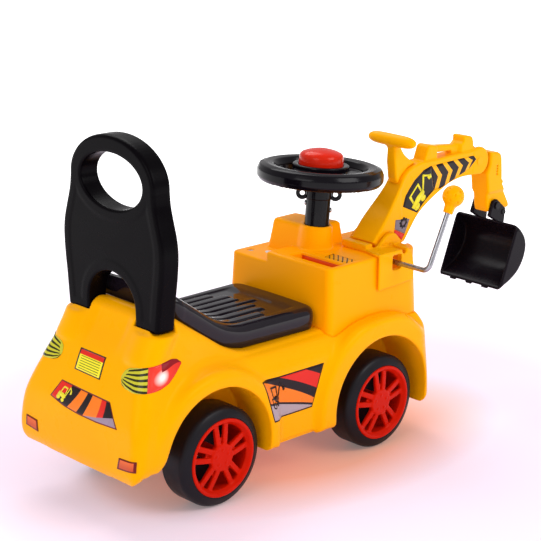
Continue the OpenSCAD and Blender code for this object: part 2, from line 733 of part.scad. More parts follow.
module bucket_pin() color([0.75, 0.76, 0.78]) car() arm_at()
    translate([bucket_pivot[0], 23, bucket_pivot[1]]) rotate([90, 0, 0]) {
        cylinder(r = 4, h = 46);
        cylinder(r = 5.5, h = 1.6);
        translate([0, 0, 44.4]) cylinder(r = 5.5, h = 1.6);
    }

// Side view of the bucket: mouth from the lip to the top corner, then the round back.
function bucket_outline() = [[582, 183], [593, 188], [612, 196], [628, 207], [640, 224], [645, 243], [641, 258],
                             [632, 270], [623, 279], [619, 281]];

module bucket() color([0.05, 0.05, 0.055]) car() arm_at() difference() {
    union() {
        difference() {
            side_plate(bucket_w) polygon(bucket_outline());
            side_plate(bucket_w - 2 * wall) offset(delta = -wall)
                polygon(concat([[570, 190], [600, 300]], [for (i = [9 : -1 : 0]) bucket_outline()[i]]));
        }
        // teeth on the lip
        for (i = [-1 : 1]) side_plate(12, i * 32)
            polygon([[582, 183], [594, 188.5], [591, 185.5], [580.5, 180.5]]);
        // hanger lugs
        for (s = [-1, 1]) side_plate(6, s * (14 + move_gap + 3))
            polygon([[601, 291], [610, 314], [619, 315.5], [641, 297], [638, 268], [628, 272], [619, 279]]);
    }
    translate([bucket_pivot[0], 40, bucket_pivot[1]]) rotate([90, 0, 0]) cylinder(r = 4, h = 80);
}

// The crank's rod is fixed in the boom's foot, leaves the slot to the right, then turns up to the knob.
module crank_rod() color([0.78, 0.79, 0.81]) car() {
    bend = 10;
    a = atan2(crank_up[0] - crank_axis[0], crank_up[1] - crank_axis[1]);
    l = norm(crank_up - crank_axis);
    translate([crank_axis[0], -crank_in, crank_axis[1]]) rotate([90, 0, 0])
        cylinder(r = rod_r, h = crank_out - crank_in - bend);
    translate([crank_axis[0], -crank_out, crank_axis[1]]) rotate([0, a, 0]) {
        translate([0, 0, bend]) cylinder(r = rod_r, h = l - bend + knob_grip - 2);
        translate([0, bend, bend]) rotate([0, 90, 0]) rotate([0, 0, -90]) rotate_extrude(angle = 90)
            translate([bend, 0]) circle(rod_r);
    }
}

module crank_knob() color([1.0, 0.70, 0.0]) car() translate([crank_axis[0], -crank_out, crank_axis[1]])
    rotate([0, atan2(crank_up[0] - crank_axis[0], crank_up[1] - crank_axis[1]), 0])
        translate([0, 0, norm(crank_up - crank_axis) - 2]) difference() {
            union() {
                cylinder(r1 = 6.5, r2 = 7.5, h = 12);
                translate([0, 0, 26]) sphere(r = 16);
            }
            translate([0, 0, -1]) cylinder(r = rod_r, h = knob_grip + 1);
        }

body_shell();
floor_pan();
pan_screws();
seat();
backrest();
console();
deck_screw();
rear_axle();
rim_rear_left();
rim_rear_right();
rim_front_left();
rim_front_right();
tyre_rear_left();
tyre_rear_right();
tyre_front_left();
tyre_front_right();
knuckle_left();
knuckle_right();
stub_left();
stub_right();
kingpin_left();
kingpin_right();
tie_rod();
steering_shaft();
steering_column();
column_screws();
steering_wheel();
horn_button();
arm_bracket();
boom_pin();
boom();
arm_handle();
elbow_pin();
stick();
bucket_pin();
bucket();
crank_rod();
crank_knob();
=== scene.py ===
"""Looks of the ride-on digger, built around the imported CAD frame.

Shapes are worked out in millimetres in the car's own layout: x = 0 at the rear axle, y = 0 on the
centre plane, z = 0 on the floor, +x forward, +y to the driver's left. place() takes them to the row
frame in metres. Moulded pieces are signed distance fields turned into quad meshes, so their edges are
rounded as in a mould.
"""
import math

import bpy
import numpy as np
from mathutils import Matrix, Vector
from mathutils.bvhtree import BVHTree
from mathutils.geometry import tessellate_polygon


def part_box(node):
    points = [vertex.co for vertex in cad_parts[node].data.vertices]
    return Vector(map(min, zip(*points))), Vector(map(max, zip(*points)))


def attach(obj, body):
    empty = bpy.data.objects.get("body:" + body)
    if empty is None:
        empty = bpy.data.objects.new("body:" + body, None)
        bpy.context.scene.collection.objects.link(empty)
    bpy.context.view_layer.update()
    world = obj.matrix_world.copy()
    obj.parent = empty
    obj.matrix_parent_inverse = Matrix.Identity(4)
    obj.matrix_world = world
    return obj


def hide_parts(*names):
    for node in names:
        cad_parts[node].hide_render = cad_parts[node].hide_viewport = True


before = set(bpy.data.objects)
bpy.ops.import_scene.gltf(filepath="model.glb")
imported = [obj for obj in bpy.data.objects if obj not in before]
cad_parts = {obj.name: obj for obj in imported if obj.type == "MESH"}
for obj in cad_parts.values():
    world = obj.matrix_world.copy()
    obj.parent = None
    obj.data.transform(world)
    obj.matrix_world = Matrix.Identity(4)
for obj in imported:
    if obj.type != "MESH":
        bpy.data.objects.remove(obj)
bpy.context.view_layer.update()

# ------------------------------------------------------------------ layout
MM = 0.001
axle_lo, axle_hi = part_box("rear_axle")
ORIGIN = np.array([(axle_lo.x + axle_hi.x) / 2, (axle_lo.y + axle_hi.y) / 2, 0.0])


def layout_box(node):
    """Lowest and highest corner of a CAD node, in the car's layout, in millimetres."""
    lo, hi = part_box(node)
    return (np.array(lo) - ORIGIN) / MM, (np.array(hi) - ORIGIN) / MM


def place(points):
    """Layout millimetres to row-frame metres."""
    return np.asarray(points, float) * MM + ORIGIN


TYRE_R = layout_box("tyre_rear_right")[1][2] / 2
AXLE_Z = TYRE_R
RIM_FACE = layout_box("rim_rear_left")[1][1]
WHEELBASE = (layout_box("tyre_front_left")[0][0] + layout_box("tyre_front_left")[1][0]) / 2
BODY_LO, BODY_HI = layout_box("body_shell")
BODY_BACK, BODY_FRONT, FENDER_HALF, SILL_Z = -BODY_LO[0], BODY_HI[0], BODY_HI[1], BODY_LO[2]
BACK_LO, BACK_HI = layout_box("backrest")
LEG_X, BACK_T = (BACK_LO[0] + BACK_HI[0]) / 2, BACK_HI[0] - BACK_LO[0]
SEAT_HI = layout_box("seat")[1]
ARM_Y = sum(layout_box("stick")[i][1] for i in (0, 1)) / 2
BUCKET_LO, BUCKET_HI = layout_box("bucket")
LEAN = math.radians(4)
COLUMN_FOOT = np.array([286.0, 0.0, 270.0])
WHEEL_UP = 130.0
WHEEL_R = 92.0


# ------------------------------------------------------------------ signed distances
class Field:
    """A regular grid of sample points from lo to hi, and the shapes that can be measured on it."""

    def __init__(self, lo, hi, step):
        self.lo, self.step = np.array(lo, float), step
        count = np.ceil((np.array(hi, float) - self.lo) / step).astype(int) + 1
        axes = [self.lo[i] + step * np.arange(count[i]) for i in range(3)]
        self.x = axes[0][:, None, None]
        self.y = axes[1][None, :, None]
        self.z = axes[2][None, None, :]

    def box(self, lo, hi, r=0.0):
        """Rounded box between two corners."""
        lo, hi = np.array(lo, float), np.array(hi, float)
        c, h = (lo + hi) / 2, (hi - lo) / 2 - r
        q = [abs(v - c[i]) - h[i] for i, v in enumerate((self.x, self.y, self.z))]
        outside = np.sqrt(sum(np.maximum(v, 0) ** 2 for v in q))
        return outside + np.minimum(np.maximum(q[0], np.maximum(q[1], q[2])), 0) - r

    def side(self, points):
        """Closed outline in the side view, given as (x, z)."""
        return polygon_distance(self.x, self.z, points)

    def plan(self, points):
        """Closed outline seen from above, given as (x, y)."""
        return polygon_distance(self.x, self.y, points)

    def round(self, centre, r):
        """Crosswise cylinder about a point (x, z)."""
        return np.hypot(self.x - centre[0], self.z - centre[1]) - r


def both(a, b, r=0.0):
    """Intersection with its edge rounded to radius r."""
    if r <= 0:
        return np.maximum(a, b)
    return np.minimum(np.maximum(a, b), -r) + np.hypot(np.maximum(a + r, 0), np.maximum(b + r, 0))


def either(a, b, r=0.0):
    """Union with its inner corner filleted to radius r."""
    if r <= 0:
        return np.minimum(a, b)
    return np.maximum(np.minimum(a, b), r) - np.hypot(np.maximum(r - a, 0), np.maximum(r - b, 0))


def without(a, b, r=0.0):
    return both(a, -b, r)


def each_without(shape, r, *pieces):
    """The shape with every piece taken out of it."""
    for piece in pieces:
        shape = without(shape, piece, r)
    return shape


def slab(v, low, high):
    return np.maximum(low - v, v - high)


def polygon_distance(u, v, points):
    """Signed distance to a closed polygon in the plane of two broadcastable coordinates."""
    u, v = np.broadcast_arrays(u, v)
    squared = np.full(u.shape, np.inf)
    sign = np.ones(u.shape)
    for i in range(len(points)):
        (ax, ay), (bx, by) = points[i], points[i - 1]
        ex, ey = bx - ax, by - ay
        length = ex * ex + ey * ey
        if length < 1e-12:
            continue
        wx, wy = u - ax, v - ay
        t = np.clip((wx * ex + wy * ey) / length, 0, 1)
        squared = np.minimum(squared, (wx - ex * t) ** 2 + (wy - ey * t) ** 2)
        above, below, left = v >= ay, v < by, ex * wy > ey * wx
        sign = np.where((above & below & left) | (~above & ~below & ~left), -sign, sign)
    return sign * np.sqrt(squared)


def segment_distance(u, v, a, b):
    """Distance in a plane to the segment from a to b."""
    ex, ey = b[0] - a[0], b[1] - a[1]
    t = np.clip(((u - a[0]) * ex + (v - a[1]) * ey) / (ex * ex + ey * ey), 0, 1)
    return np.hypot(u - a[0] - ex * t, v - a[1] - ey * t)


def arc(c, r, a0, a1, n=12):
    angles = np.radians(np.linspace(a0, a1, n + 1))
    return [(c[0] + r * math.cos(a), c[1] + r * math.sin(a)) for a in angles]


def curve(points, n=8):
    """Open Catmull-Rom curve through the points, n steps to a span."""
    p = [np.array(q, float) for q in points]
    p = [2 * p[0] - p[1]] + p + [2 * p[-1] - p[-2]]
    out = []
    for i in range(1, len(p) - 2):
        for t in np.arange(n) / n:
            out.append(tuple(0.5 * (2 * p[i] + (p[i + 1] - p[i - 1]) * t
                                    + (2 * p[i - 1] - 5 * p[i] + 4 * p[i + 1] - p[i + 2]) * t ** 2
                                    + (3 * p[i] - p[i - 1] - 3 * p[i + 1] + p[i + 2]) * t ** 3)))
    return out + [tuple(p[-2])]


def smoothstep(v, low, high):
    t = np.clip((v - low) / (high - low), 0, 1)
    return t * t * (3 - 2 * t)


CORNERS = np.array([(i, j, k) for i in (0, 1) for j in (0, 1) for k in (0, 1)])
EDGES = [(a, b) for a in range(8) for b in range(a + 1, 8) if np.abs(CORNERS[a] - CORNERS[b]).sum() == 1]


def surface(grid, values):
    """Quads of the zero level on the grid: one vertex to a cell, at the mean of its edge crossings."""
    values = np.broadcast_to(values, (grid.x.size, grid.y.size, grid.z.size)).astype(np.float32)
    values = np.pad(values, 1, constant_values=grid.step)
    inside = values < 0
    corner_slices = [tuple(slice(o, inside.shape[i] - 1 + o) for i, o in enumerate(c)) for c in CORNERS]
    count = sum(inside[s].astype(np.int8) for s in corner_slices)
    active = (count > 0) & (count < 8)
    cells = np.argwhere(active)
    corner = np.stack([values[tuple((cells + c).T)] for c in CORNERS], 1)
    total, hits = np.zeros((len(cells), 3)), np.zeros(len(cells))
    for a, b in EDGES:
        crosses = (corner[:, a] < 0) != (corner[:, b] < 0)
        t = corner[crosses, a] / (corner[crosses, a] - corner[crosses, b])
        total[crosses] += CORNERS[a] + t[:, None] * (CORNERS[b] - CORNERS[a])
        hits[crosses] += 1
    verts = grid.lo + grid.step * (cells + total / hits[:, None] - 1)
    index = np.full(active.shape, -1, np.int64)
    index[active] = np.arange(len(cells))
    faces = []
    for axis in range(3):
        u, v = (axis + 1) % 3, (axis + 2) % 3
        low, high = [slice(1, -1)] * 3, [slice(1, -1)] * 3
        low[axis], high[axis] = slice(0, -1), slice(1, None)
        enters, leaves = inside[tuple(low)], inside[tuple(high)]
        for flag, order in ((enters & ~leaves, 1), (~enters & leaves, -1)):
            at = np.argwhere(flag) + 1
            at[:, axis] -= 1
            ring = []
            for du, dv in ((1, 1), (0, 1), (0, 0), (1, 0)):
                cell = at.copy()
                cell[:, u] -= du
                cell[:, v] -= dv
                ring.append(index[tuple(cell.T)])
            faces.append(np.stack(ring[::order], 1))
    return verts, np.concatenate(faces)


# ------------------------------------------------------------------ meshes
def add_mesh(name, verts, faces, material, body, replaced=(), sharp=None, uvs=None):
    """A piece from layout millimetres, riding on a body. uvs gives one (u, v) to a vertex."""
    mesh = bpy.data.meshes.new(name)
    mesh.from_pydata(place(verts).tolist(), [], [list(map(int, f)) for f in faces])
    mesh.polygons.foreach_set("use_smooth", [True] * len(mesh.polygons))
    if sharp is not None:
        mesh.set_sharp_from_angle(angle=math.radians(sharp))
    if uvs is not None:
        layer = mesh.uv_layers.new(name="UVMap")
        for loop in mesh.loops:
            layer.data[loop.index].uv = uvs[loop.vertex_index]
    mesh.validate()
    mesh.update()
    obj = bpy.data.objects.new(name, mesh)
    bpy.context.scene.collection.objects.link(obj)
    mesh.materials.append(material)
    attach(obj, body)
    if replaced:
        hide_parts(*replaced)
    return obj


def moulded(name, grid, values, material, body, replaced=()):
    verts, faces = surface(grid, values)
    return add_mesh(name, verts, faces, material, body, replaced)


# ------------------------------------------------------------------ materials
class Nodes:
    """Short names for building one material's node tree."""

    def __init__(self, name):
        self.material = bpy.data.materials.new(name)
        self.material.use_nodes = True
        self.tree = self.material.node_tree
        self.shader = self.tree.nodes["Principled BSDF"]

    def add(self, kind, **inputs):
        node = self.tree.nodes.new(kind)
        for key, value in inputs.items():
            self.set(node, key, value)
        return node

    def set(self, node, key, value):
        socket = node.inputs[int(key[1:]) if key[0] == "_" and key[1:].isdigit() else key.replace("_", " ")]
        if isinstance(value, bpy.types.NodeSocket):
            self.tree.links.new(value, socket)
        else:
            socket.default_value = value

    def math(self, operation, a, b=0.0, c=0.0, clamp=False):
        node = self.add("ShaderNodeMath", _0=a, _1=b, _2=c)
        node.operation, node.use_clamp = operation, clamp
        return node.outputs[0]

    def mix(self, factor, a, b):
        node = self.tree.nodes.new("ShaderNodeMix")
        node.data_type = "RGBA"
        for key, value in (("_0", factor), ("_6", a), ("_7", b)):
            self.set(node, key, value)
        return node.outputs[2]

    def noise(self, scale, detail=3.0, coords=None):
        coords = coords or self.add("ShaderNodeTexCoord").outputs["Object"]
        return self.add("ShaderNodeTexNoise", Vector=coords, Scale=scale, Detail=detail).outputs["Fac"]

    def span(self, value, low, high, to_low, to_high):
        ends = {"From_Min": low, "From_Max": high, "To_Min": to_low, "To_Max": to_high}
        return self.add("ShaderNodeMapRange", Value=value, **ends).outputs[0]

    def length(self, vector):
        node = self.tree.nodes.new("ShaderNodeVectorMath")
        node.operation = "LENGTH"
        self.set(node, "_0", vector)
        return node.outputs["Value"]

    def bump(self, height, distance, strength=1.0):
        node = self.add("ShaderNodeBump", Height=height, Distance=distance, Strength=strength)
        return node.outputs["Normal"]


def rgba(colour, gain=1.0):
    return tuple(min(1.0, c * gain) for c in colour) + (1.0,)


def plastic(name, colour, roughness, grain=0.00002, grain_scale=700.0, wear=0.35, deep=0.93, coat=0.0,
            specular=0.3, tint=(1.0, 1.0, 1.0), painted_glow=0.0):
    """Moulded plastic: slow colour drift, patchy gloss, a fine skin, paler rubbed edges and, when asked for, a
    painted glow: emission in its own colour that brightens a part which is no lamp.
    """
    n = Nodes(name)
    drift = n.span(n.noise(7.0), 0.3, 0.7, 0.0, 1.0)
    base = n.mix(drift, rgba(colour), rgba(colour, deep))
    edge = n.span(n.add("ShaderNodeNewGeometry").outputs["Pointiness"], 0.53, 0.62, 0.0, wear)
    scuffs = n.math("MULTIPLY", edge, n.span(n.noise(90.0), 0.4, 0.65, 0.0, 1.0), clamp=True)
    paler = tuple(min(1.0, c * 0.9 + 0.045) for c in colour)
    n.set(n.shader, "Base Color", n.mix(scuffs, base, rgba(paler)))
    gloss = n.span(n.noise(26.0), 0.3, 0.7, roughness * 0.8, roughness * 1.25)
    n.set(n.shader, "Roughness", n.math("ADD", gloss, n.math("MULTIPLY", scuffs, 0.2), clamp=True))
    n.set(n.shader, "Normal", n.bump(n.noise(grain_scale, 2.0), grain))
    n.shader.inputs["IOR"].default_value = 1.49
    n.shader.inputs["Specular IOR Level"].default_value = specular
    n.shader.inputs["Specular Tint"].default_value = rgba(tint)
    # painted light: emission in the plastic's own colour, brightening a part that is no lamp
    n.shader.inputs["Emission Color"].default_value = rgba(colour)
    n.shader.inputs["Emission Strength"].default_value = painted_glow
    n.shader.inputs["Coat Weight"].default_value = coat
    n.shader.inputs["Coat Roughness"].default_value = 0.06
    return n.material


def metal(name, colour, roughness, scratch_scale=(60.0, 900.0, 900.0)):
    """Plated steel with fine drawn scratches and duller patches."""
    n = Nodes(name)
    coords = n.add("ShaderNodeTexCoord").outputs["Object"]
    drawn = n.add("ShaderNodeMapping", Vector=coords, Scale=scratch_scale).outputs[0]
    lines = n.noise(1.0, 2.0, drawn)
    dulled = n.span(n.noise(40.0), 0.35, 0.7, 0.0, 1.0)
    n.set(n.shader, "Base Color", n.mix(dulled, rgba(colour), rgba(colour, 0.82)))
    n.set(n.shader, "Roughness", n.span(lines, 0.3, 0.7, roughness * 0.7, roughness * 1.5))
    n.set(n.shader, "Normal", n.bump(lines, 0.00002))
    n.shader.inputs["Metallic"].default_value = 1.0
    return n.material


YELLOW = (1.0, 0.425, 0.0)
ORANGE = (1.0, 0.36, 0.0)
BLACK = (0.009, 0.006, 0.010)
RED = (0.62, 0.008, 0.0)
AMBER_TINT = (1.0, 0.72, 0.12)

mat_body = plastic("body_yellow", YELLOW, 0.30, specular=0.13, tint=AMBER_TINT)
# the console gets a small painted glow, which brightens its shaded rear face
mat_console = plastic("console_orange", ORANGE, 0.32, specular=0.12, painted_glow=0.14, tint=AMBER_TINT)
mat_arm = plastic("arm_yellow", YELLOW, 0.32, specular=0.13, tint=AMBER_TINT)
mat_seat = plastic("seat_black", BLACK, 0.11, grain=0.00001, wear=0.1, coat=0.12, specular=0.25)
mat_back = plastic("backrest_black", (0.0016, 0.001, 0.0018), 0.28, wear=0.05, specular=0.04)
mat_wheel = plastic("steering_black", (0.003, 0.002, 0.004), 0.18, wear=0.06, coat=0.04, specular=0.14)
mat_bucket = plastic("bucket_black", (0.006, 0.004, 0.007), 0.24, wear=0.08, specular=0.09)
mat_pan = plastic("pan_black", (0.012, 0.012, 0.013), 0.55, grain=0.00006, wear=0.1, specular=0.2)
mat_tyre = plastic("tyre_black", (0.005, 0.004, 0.007), 0.42, grain=0.00005, grain_scale=420.0, wear=0.1,
                   specular=0.2)
mat_rim = plastic("rim_red", RED, 0.32, specular=0.15, tint=(1.0, 0.45, 0.3))
mat_button = plastic("button_red", (0.70, 0.016, 0.003), 0.22, coat=0.12, specular=0.2,
                     tint=(1.0, 0.5, 0.35))
mat_knob = plastic("knob_amber", (1.0, 0.40, 0.0), 0.24, specular=0.2, tint=AMBER_TINT)
mat_steel = metal("zinc_steel", (0.55, 0.55, 0.57), 0.30)
mat_chrome = metal("rod_steel", (0.40, 0.40, 0.43), 0.28, (900.0, 900.0, 60.0))

# ------------------------------------------------------------------ body shell
WALL = 6.0
REAR_ARCH, FRONT_ARCH = (-12.0, 80.0, 93.0), (303.0, 78.0, 96.0)
REAR_INNER, FRONT_INNER = 62.0, 50.0
SIDE_HALF = 119.0
DECK_Z, DECK_RISE, DECK_KNEE, DECK_SOFT = 197.0, 0.71, 48.0, 34.0
LEG_Y, LEG_Z = 71.5, 252.8
CREST_Z = 274.0
COWL_Z = 318.0
CONSOLE_BACK, CONSOLE_HALF, CONSOLE_Z, CONSOLE_Z_RIGHT = 214.0, 101.0, 271.0, 285.0
CONSOLE_FOOT = 182.0


def deck(x):
    """Height of the seat deck: level in front, a straight rise behind the knee, blended between."""
    if x > DECK_KNEE + DECK_SOFT:
        return DECK_Z
    if x < DECK_KNEE - DECK_SOFT:
        return DECK_Z + DECK_RISE * (DECK_KNEE - x)
    return DECK_Z + DECK_RISE * (DECK_KNEE + DECK_SOFT - x) ** 2 / (4 * DECK_SOFT)


def rounded_plan(x0, x1, half, r0, r1):
    return (arc((x0 + r0, half - r0), r0, 180, 90) + arc((x1 - r1, half - r1), r1, 90, 0)
            + arc((x1 - r1, r1 - half), r1, 0, -90) + arc((x0 + r0, r0 - half), r0, -90, -180))


def console_plan(grow):
    return rounded_plan(CONSOLE_BACK - grow / 2, 407 + grow, CONSOLE_HALF + grow, 10, 30)


def body_outside(g, foot):
    """The body without arches, standing on a flat foot at that height."""
    side_y = abs(g.y)
    # the front lip leans forward and hangs a little lower than the sills
    front = smoothstep(g.x, 340, 400)
    z = g.z + 9 * front * smoothstep(g.z, 130, 85)
    x = g.x - (6 - 13 * smoothstep(g.z, 60, 190)) * front
    tail = curve([(-100, SILL_Z + 8), (12 - BODY_BACK, SILL_Z + 9), (3 - BODY_BACK, SILL_Z + 17),
                  (-BODY_BACK, SILL_Z + 35), (-151, 136), (-141, 166), (-127, 197), (-110, 228), (-96, 252),
                  (-86, 272), (-76, 296), (-66, 330)])
    if foot < SILL_Z:
        tail = [(-100, foot), (3 - BODY_BACK, foot)] + [p for p in tail if p[1] > SILL_Z + 17]
    behind = polygon_distance(x, z, tail + [(700, 400), (700, foot), (-60, foot)])
    deck_line = [(-400, foot), (-400, deck(-132))] + [(at, deck(at)) for at in range(-132, 96, 6)]
    deck_line += [(216, DECK_Z), (BODY_FRONT - 14, DECK_Z + 2), (BODY_FRONT - 4, DECK_Z - 30),
                  (BODY_FRONT, 120), (BODY_FRONT - 2, foot)]
    profile = both(behind, both(polygon_distance(x, z, deck_line), z - CREST_Z, 9.0), 11.0)
    middle = [(-200, foot), (SIDE_HALF, foot), (SIDE_HALF, 150)] + arc((SIDE_HALF - 42, 158), 42, 0, 62)
    middle = polygon_distance(side_y, z, middle + [(94, 215), (89, 296), (-200, 296)])
    tapered = [(-200, foot), (FENDER_HALF - 1, foot)]
    tapered += curve([(FENDER_HALF - drawn_in, z_at) for drawn_in, z_at in (
        (1, 74), (0, 100), (2.5, 130), (10, 160), (20, 190), (30, 222), (36, 254))] + [(89, 296)])
    tapered = polygon_distance(side_y, z, tapered + [(-200, 296)])
    w = smoothstep(g.x, 10, -75)
    section = w * tapered + (1 - w) * middle
    tub = w * both(profile, section, 19.0) + (1 - w) * both(profile, section, 9.0)
    drums = []
    for (cx, cz, r), band in ((REAR_ARCH, 9.0), (FRONT_ARCH, 20.0)):
        around = np.hypot(x - cx, z - cz)
        drum = [(-200, -60), (r + 44, -60), (r + 41, 60), (r + band + 15, SIDE_HALF - 14)]
        drum += arc((r + band, FENDER_HALF - 14), 14, 14, 90) + [(-200, FENDER_HALF)]
        drums.append(both(polygon_distance(around, side_y, drum), foot - z, 2.0))
    drums[1] = both(drums[1], g.z - 206.0, 12.0)
    whole = either(either(tub, drums[1], 7.0), drums[0], 9.0)
    plan = polygon_distance(x, side_y, rounded_plan(-BODY_BACK - 14, BODY_FRONT, FENDER_HALF, 20, 36))
    whole = both(whole, both(plan, behind, 14.0), 1.5)
    # hollow between the sockets of the backrest's legs, which bulge out of the tail
    whole = whole + 4.5 * smoothstep(side_y, 48, 28) * smoothstep(g.z, 205, 245) * smoothstep(g.x, -70, -90)
    for s in (-1, 1):
        axis_x = LEG_X - 0.55 * np.clip(LEG_Z - g.z, 0, 34)
        below = np.maximum(LEG_Z - 26 - g.z, 0)
        bulge = np.sqrt((g.x - axis_x) ** 2 + ((g.y - s * LEG_Y) * 0.82) ** 2 + below ** 2) - 25
        whole = either(whole, both(bulge, g.z - LEG_Z, 3.0), 5.0)
    # the tail's lower corners are well rounded, seen from behind
    corner = both(side_y - FENDER_HALF, foot + 8 - g.z, 36.0)
    return both(whole, corner - 80 * smoothstep(g.x, -92, -66) - 0.5, 0.5)


def arch_cut(g):
    """The room for the wheels."""
    rear, front = [both(g.round(arch[:2], arch[2]), inner - abs(g.y), 3.0)
                   for arch, inner in ((REAR_ARCH, REAR_INNER), (FRONT_ARCH, FRONT_INNER))]
    return either(rear, front)


body = Field((-BODY_BACK - 4, -FENDER_HALF - 4, SILL_Z - 13), (BODY_FRONT + 10, FENDER_HALF + 4, 292), 2.0)
shell = body_outside(body, SILL_Z)
for s in (-1, 1):
    pocket = body.box((LEG_X - BACK_T / 2 - 0.4, s * 73 - 26.5, LEG_Z),
                      (LEG_X + BACK_T / 2 + 0.4, s * 73 + 26.5, 400))
    shell = without(shell, pocket, 1.5)
hollow = both(body_outside(body, 20.0) + WALL, WALL - arch_cut(body))
hollow = both(hollow, body.z - 238)
shell = without(shell, arch_cut(body), 2.2)
# the arch opens out to the rear at its foot
sweep = both((body.z - 92) * 0.53 - (body.x + 108) * 0.85, body.x + 80)
shell = without(shell, both(sweep, 55 - abs(body.y)), 5.0)
shell = without(shell, hollow, 0.5)
windows = both(slab(body.x, 262, 328), both(slab(abs(body.y), 40, 52), body.z - 103))
shell = without(shell, windows)
console_hole = body.plan(console_plan(4.6))
shell = without(shell, both(console_hole, CONSOLE_FOOT - 3 - body.z), 1.0)
body_skin = moulded("body_shell_skin", body, shell, mat_body, "body", ["body_shell"])

# ------------------------------------------------------------------ console
con = Field((CONSOLE_BACK - 6, -110, CONSOLE_FOOT - 4), (416, 110, 330), 1.6)


def tapered_plan(g, inset):
    """The console's plan, drawn in towards the top."""
    t = np.clip((g.z - CONSOLE_FOOT) / (CONSOLE_Z - CONSOLE_FOOT), 0, 1)
    wide = g.plan(console_plan(4.0))
    narrow = g.plan(console_plan(0.0))
    return wide * (1 - t) + narrow * t + inset


outline = tapered_plan(con, 0.0)
left_deck = both(outline, slab(con.z, CONSOLE_FOOT, CONSOLE_Z), 3.0)
right_deck = both(both(outline, con.y - 27, 3.0), slab(con.z, CONSOLE_FOOT, CONSOLE_Z_RIGHT), 3.5)
console = either(left_deck, right_deck)


def cowl_at(g, inset):
    """The raised cowl ahead of the steering column, narrowing upwards."""
    low = [(263, 80), (263, -14), (328, -18), (352, -6), (352, 80)]
    high = [(271, 70), (271, -4), (331, -6), (315, 71)]
    t = np.clip((g.z - (CONSOLE_Z - 12)) / 59, 0, 1)
    side = g.plan(low) * (1 - t) + g.plan(high) * t
    return both(side + inset, slab(g.z, CONSOLE_Z - 12, COWL_Z - inset), 5.0)


def column_axis(g):
    """Distance from the leaning steering column's axis, and height along it."""
    dx, dz = g.x - COLUMN_FOOT[0], g.z - COLUMN_FOOT[2]
    along = dx * math.sin(LEAN) + dz * math.cos(LEAN)
    across = dx * math.cos(LEAN) - dz * math.sin(LEAN)
    return np.hypot(across, g.y - COLUMN_FOOT[1]), along


from_axis, up_axis = column_axis(con)
boss = both((from_axis - (27.5 - (up_axis + 12) * 4.6 / 60)) * 0.99, slab(up_axis, -12, 48), 1.5)
console = either(console, cowl_at(con, 0.0), 2.5)
console = either(console, boss, 3.0)
inside = both(both(outline + WALL, con.z - (CONSOLE_Z - WALL)), CONSOLE_FOOT - 10 - con.z)
tray_block = con.box((224, -97, 258), (254, -5, 300))
well_block = con.box((326, -102, 252), (410, -11, 300))
inside = each_without(inside, 0.0, tray_block, well_block)
console = without(console, inside, 0.5)
console = without(console, both(from_axis - 18.4, slab(up_axis, -60, 80)), 0.8)
console = without(console, con.box((228, -92, 262), (250, -9, 320), 1.5), 1.2)
console = without(console, con.box((330, -97, 256), (382, -15, 320)))
console = without(console, con.box((380, ARM_Y - 25, 269.6), (430, ARM_Y + 25, 320)), 1.0)
console = without(console, con.box((335, -120, 261), (358, -80, 285)), 0.5)
screw_lo, screw_hi = layout_box("deck_screw")
screw_x, screw_y = (screw_lo[0] + screw_hi[0]) / 2, (screw_lo[1] + screw_hi[1]) / 2
recess = both(np.hypot(con.x - screw_x, con.y - screw_y) - 5, slab(con.z, CONSOLE_Z - 3.2, 300))
console = without(console, recess, 0.8)
console_skin = moulded("console_skin", con, console, mat_console, "body", ["console"])

# ------------------------------------------------------------------ seat
SEAT_H, SEAT_HALF, SEAT_FRONT, SEAT_BACK = 34.0, SEAT_HI[1], SEAT_HI[0], -54.0
seat_grid = Field((SEAT_BACK - 6, -SEAT_HALF - 4, 192), (SEAT_FRONT + 4, SEAT_HALF + 4, 322), 1.7)
xs = seat_grid.x[:, 0, 0]
deck_at = np.array([deck(v) for v in xs])[:, None, None]
slope = np.gradient(deck_at[:, 0, 0], xs)[:, None, None]
above = (seat_grid.z - deck_at) / np.sqrt(1 + slope ** 2)
plan = seat_grid.plan(arc((-34, SEAT_HALF - 26), 20, 180, 80)
                      + arc((SEAT_FRONT - 21, SEAT_HALF - 21), 21, 90, 0)
                      + arc((SEAT_FRONT - 21, 21 - SEAT_HALF), 21, 0, -90)
                      + arc((-34, 26 - SEAT_HALF), 20, -80, -180))
bulge = 2.5 * np.sin(np.clip(above / SEAT_H, 0, 1) * math.pi)
side_wall = plan + 2.5 - bulge
crown = 2.0 * np.clip(1 - (seat_grid.y / SEAT_HALF) ** 2, 0, 1)
thick = SEAT_H / np.sqrt(1 + slope ** 2) - 2.0 + crown
# lengthwise ribs in a sunk field, each one ending at its own place in front
ribs = 0.0
for i in range(-3, 4):
    end = 168 - 9 * abs(i) - (8 if i % 2 else 0)
    rib = (smoothstep(abs(seat_grid.y - i * 17.5), 8.3, 5.3) * smoothstep(seat_grid.x, end, end - 5)
           * smoothstep(seat_grid.x, -40, -30))
    ribs = ribs + rib
sunk = (smoothstep(abs(seat_grid.y), 66, 61) * smoothstep(seat_grid.x, 186, 164)
        * smoothstep(seat_grid.x, -46, -38))
top = above - thick + 2.6 * sunk - 2.6 * np.minimum(ribs, 1.0)
seat = both(both(side_wall, top, 9.0), 0.5 - above, 1.0)
seat_inside = both(both(plan + 8, above - SEAT_H + 12), -3 - above)
seat = without(seat, seat_inside, 0.5)
moulded("seat_skin", seat_grid, seat, mat_seat, "body", ["seat"])

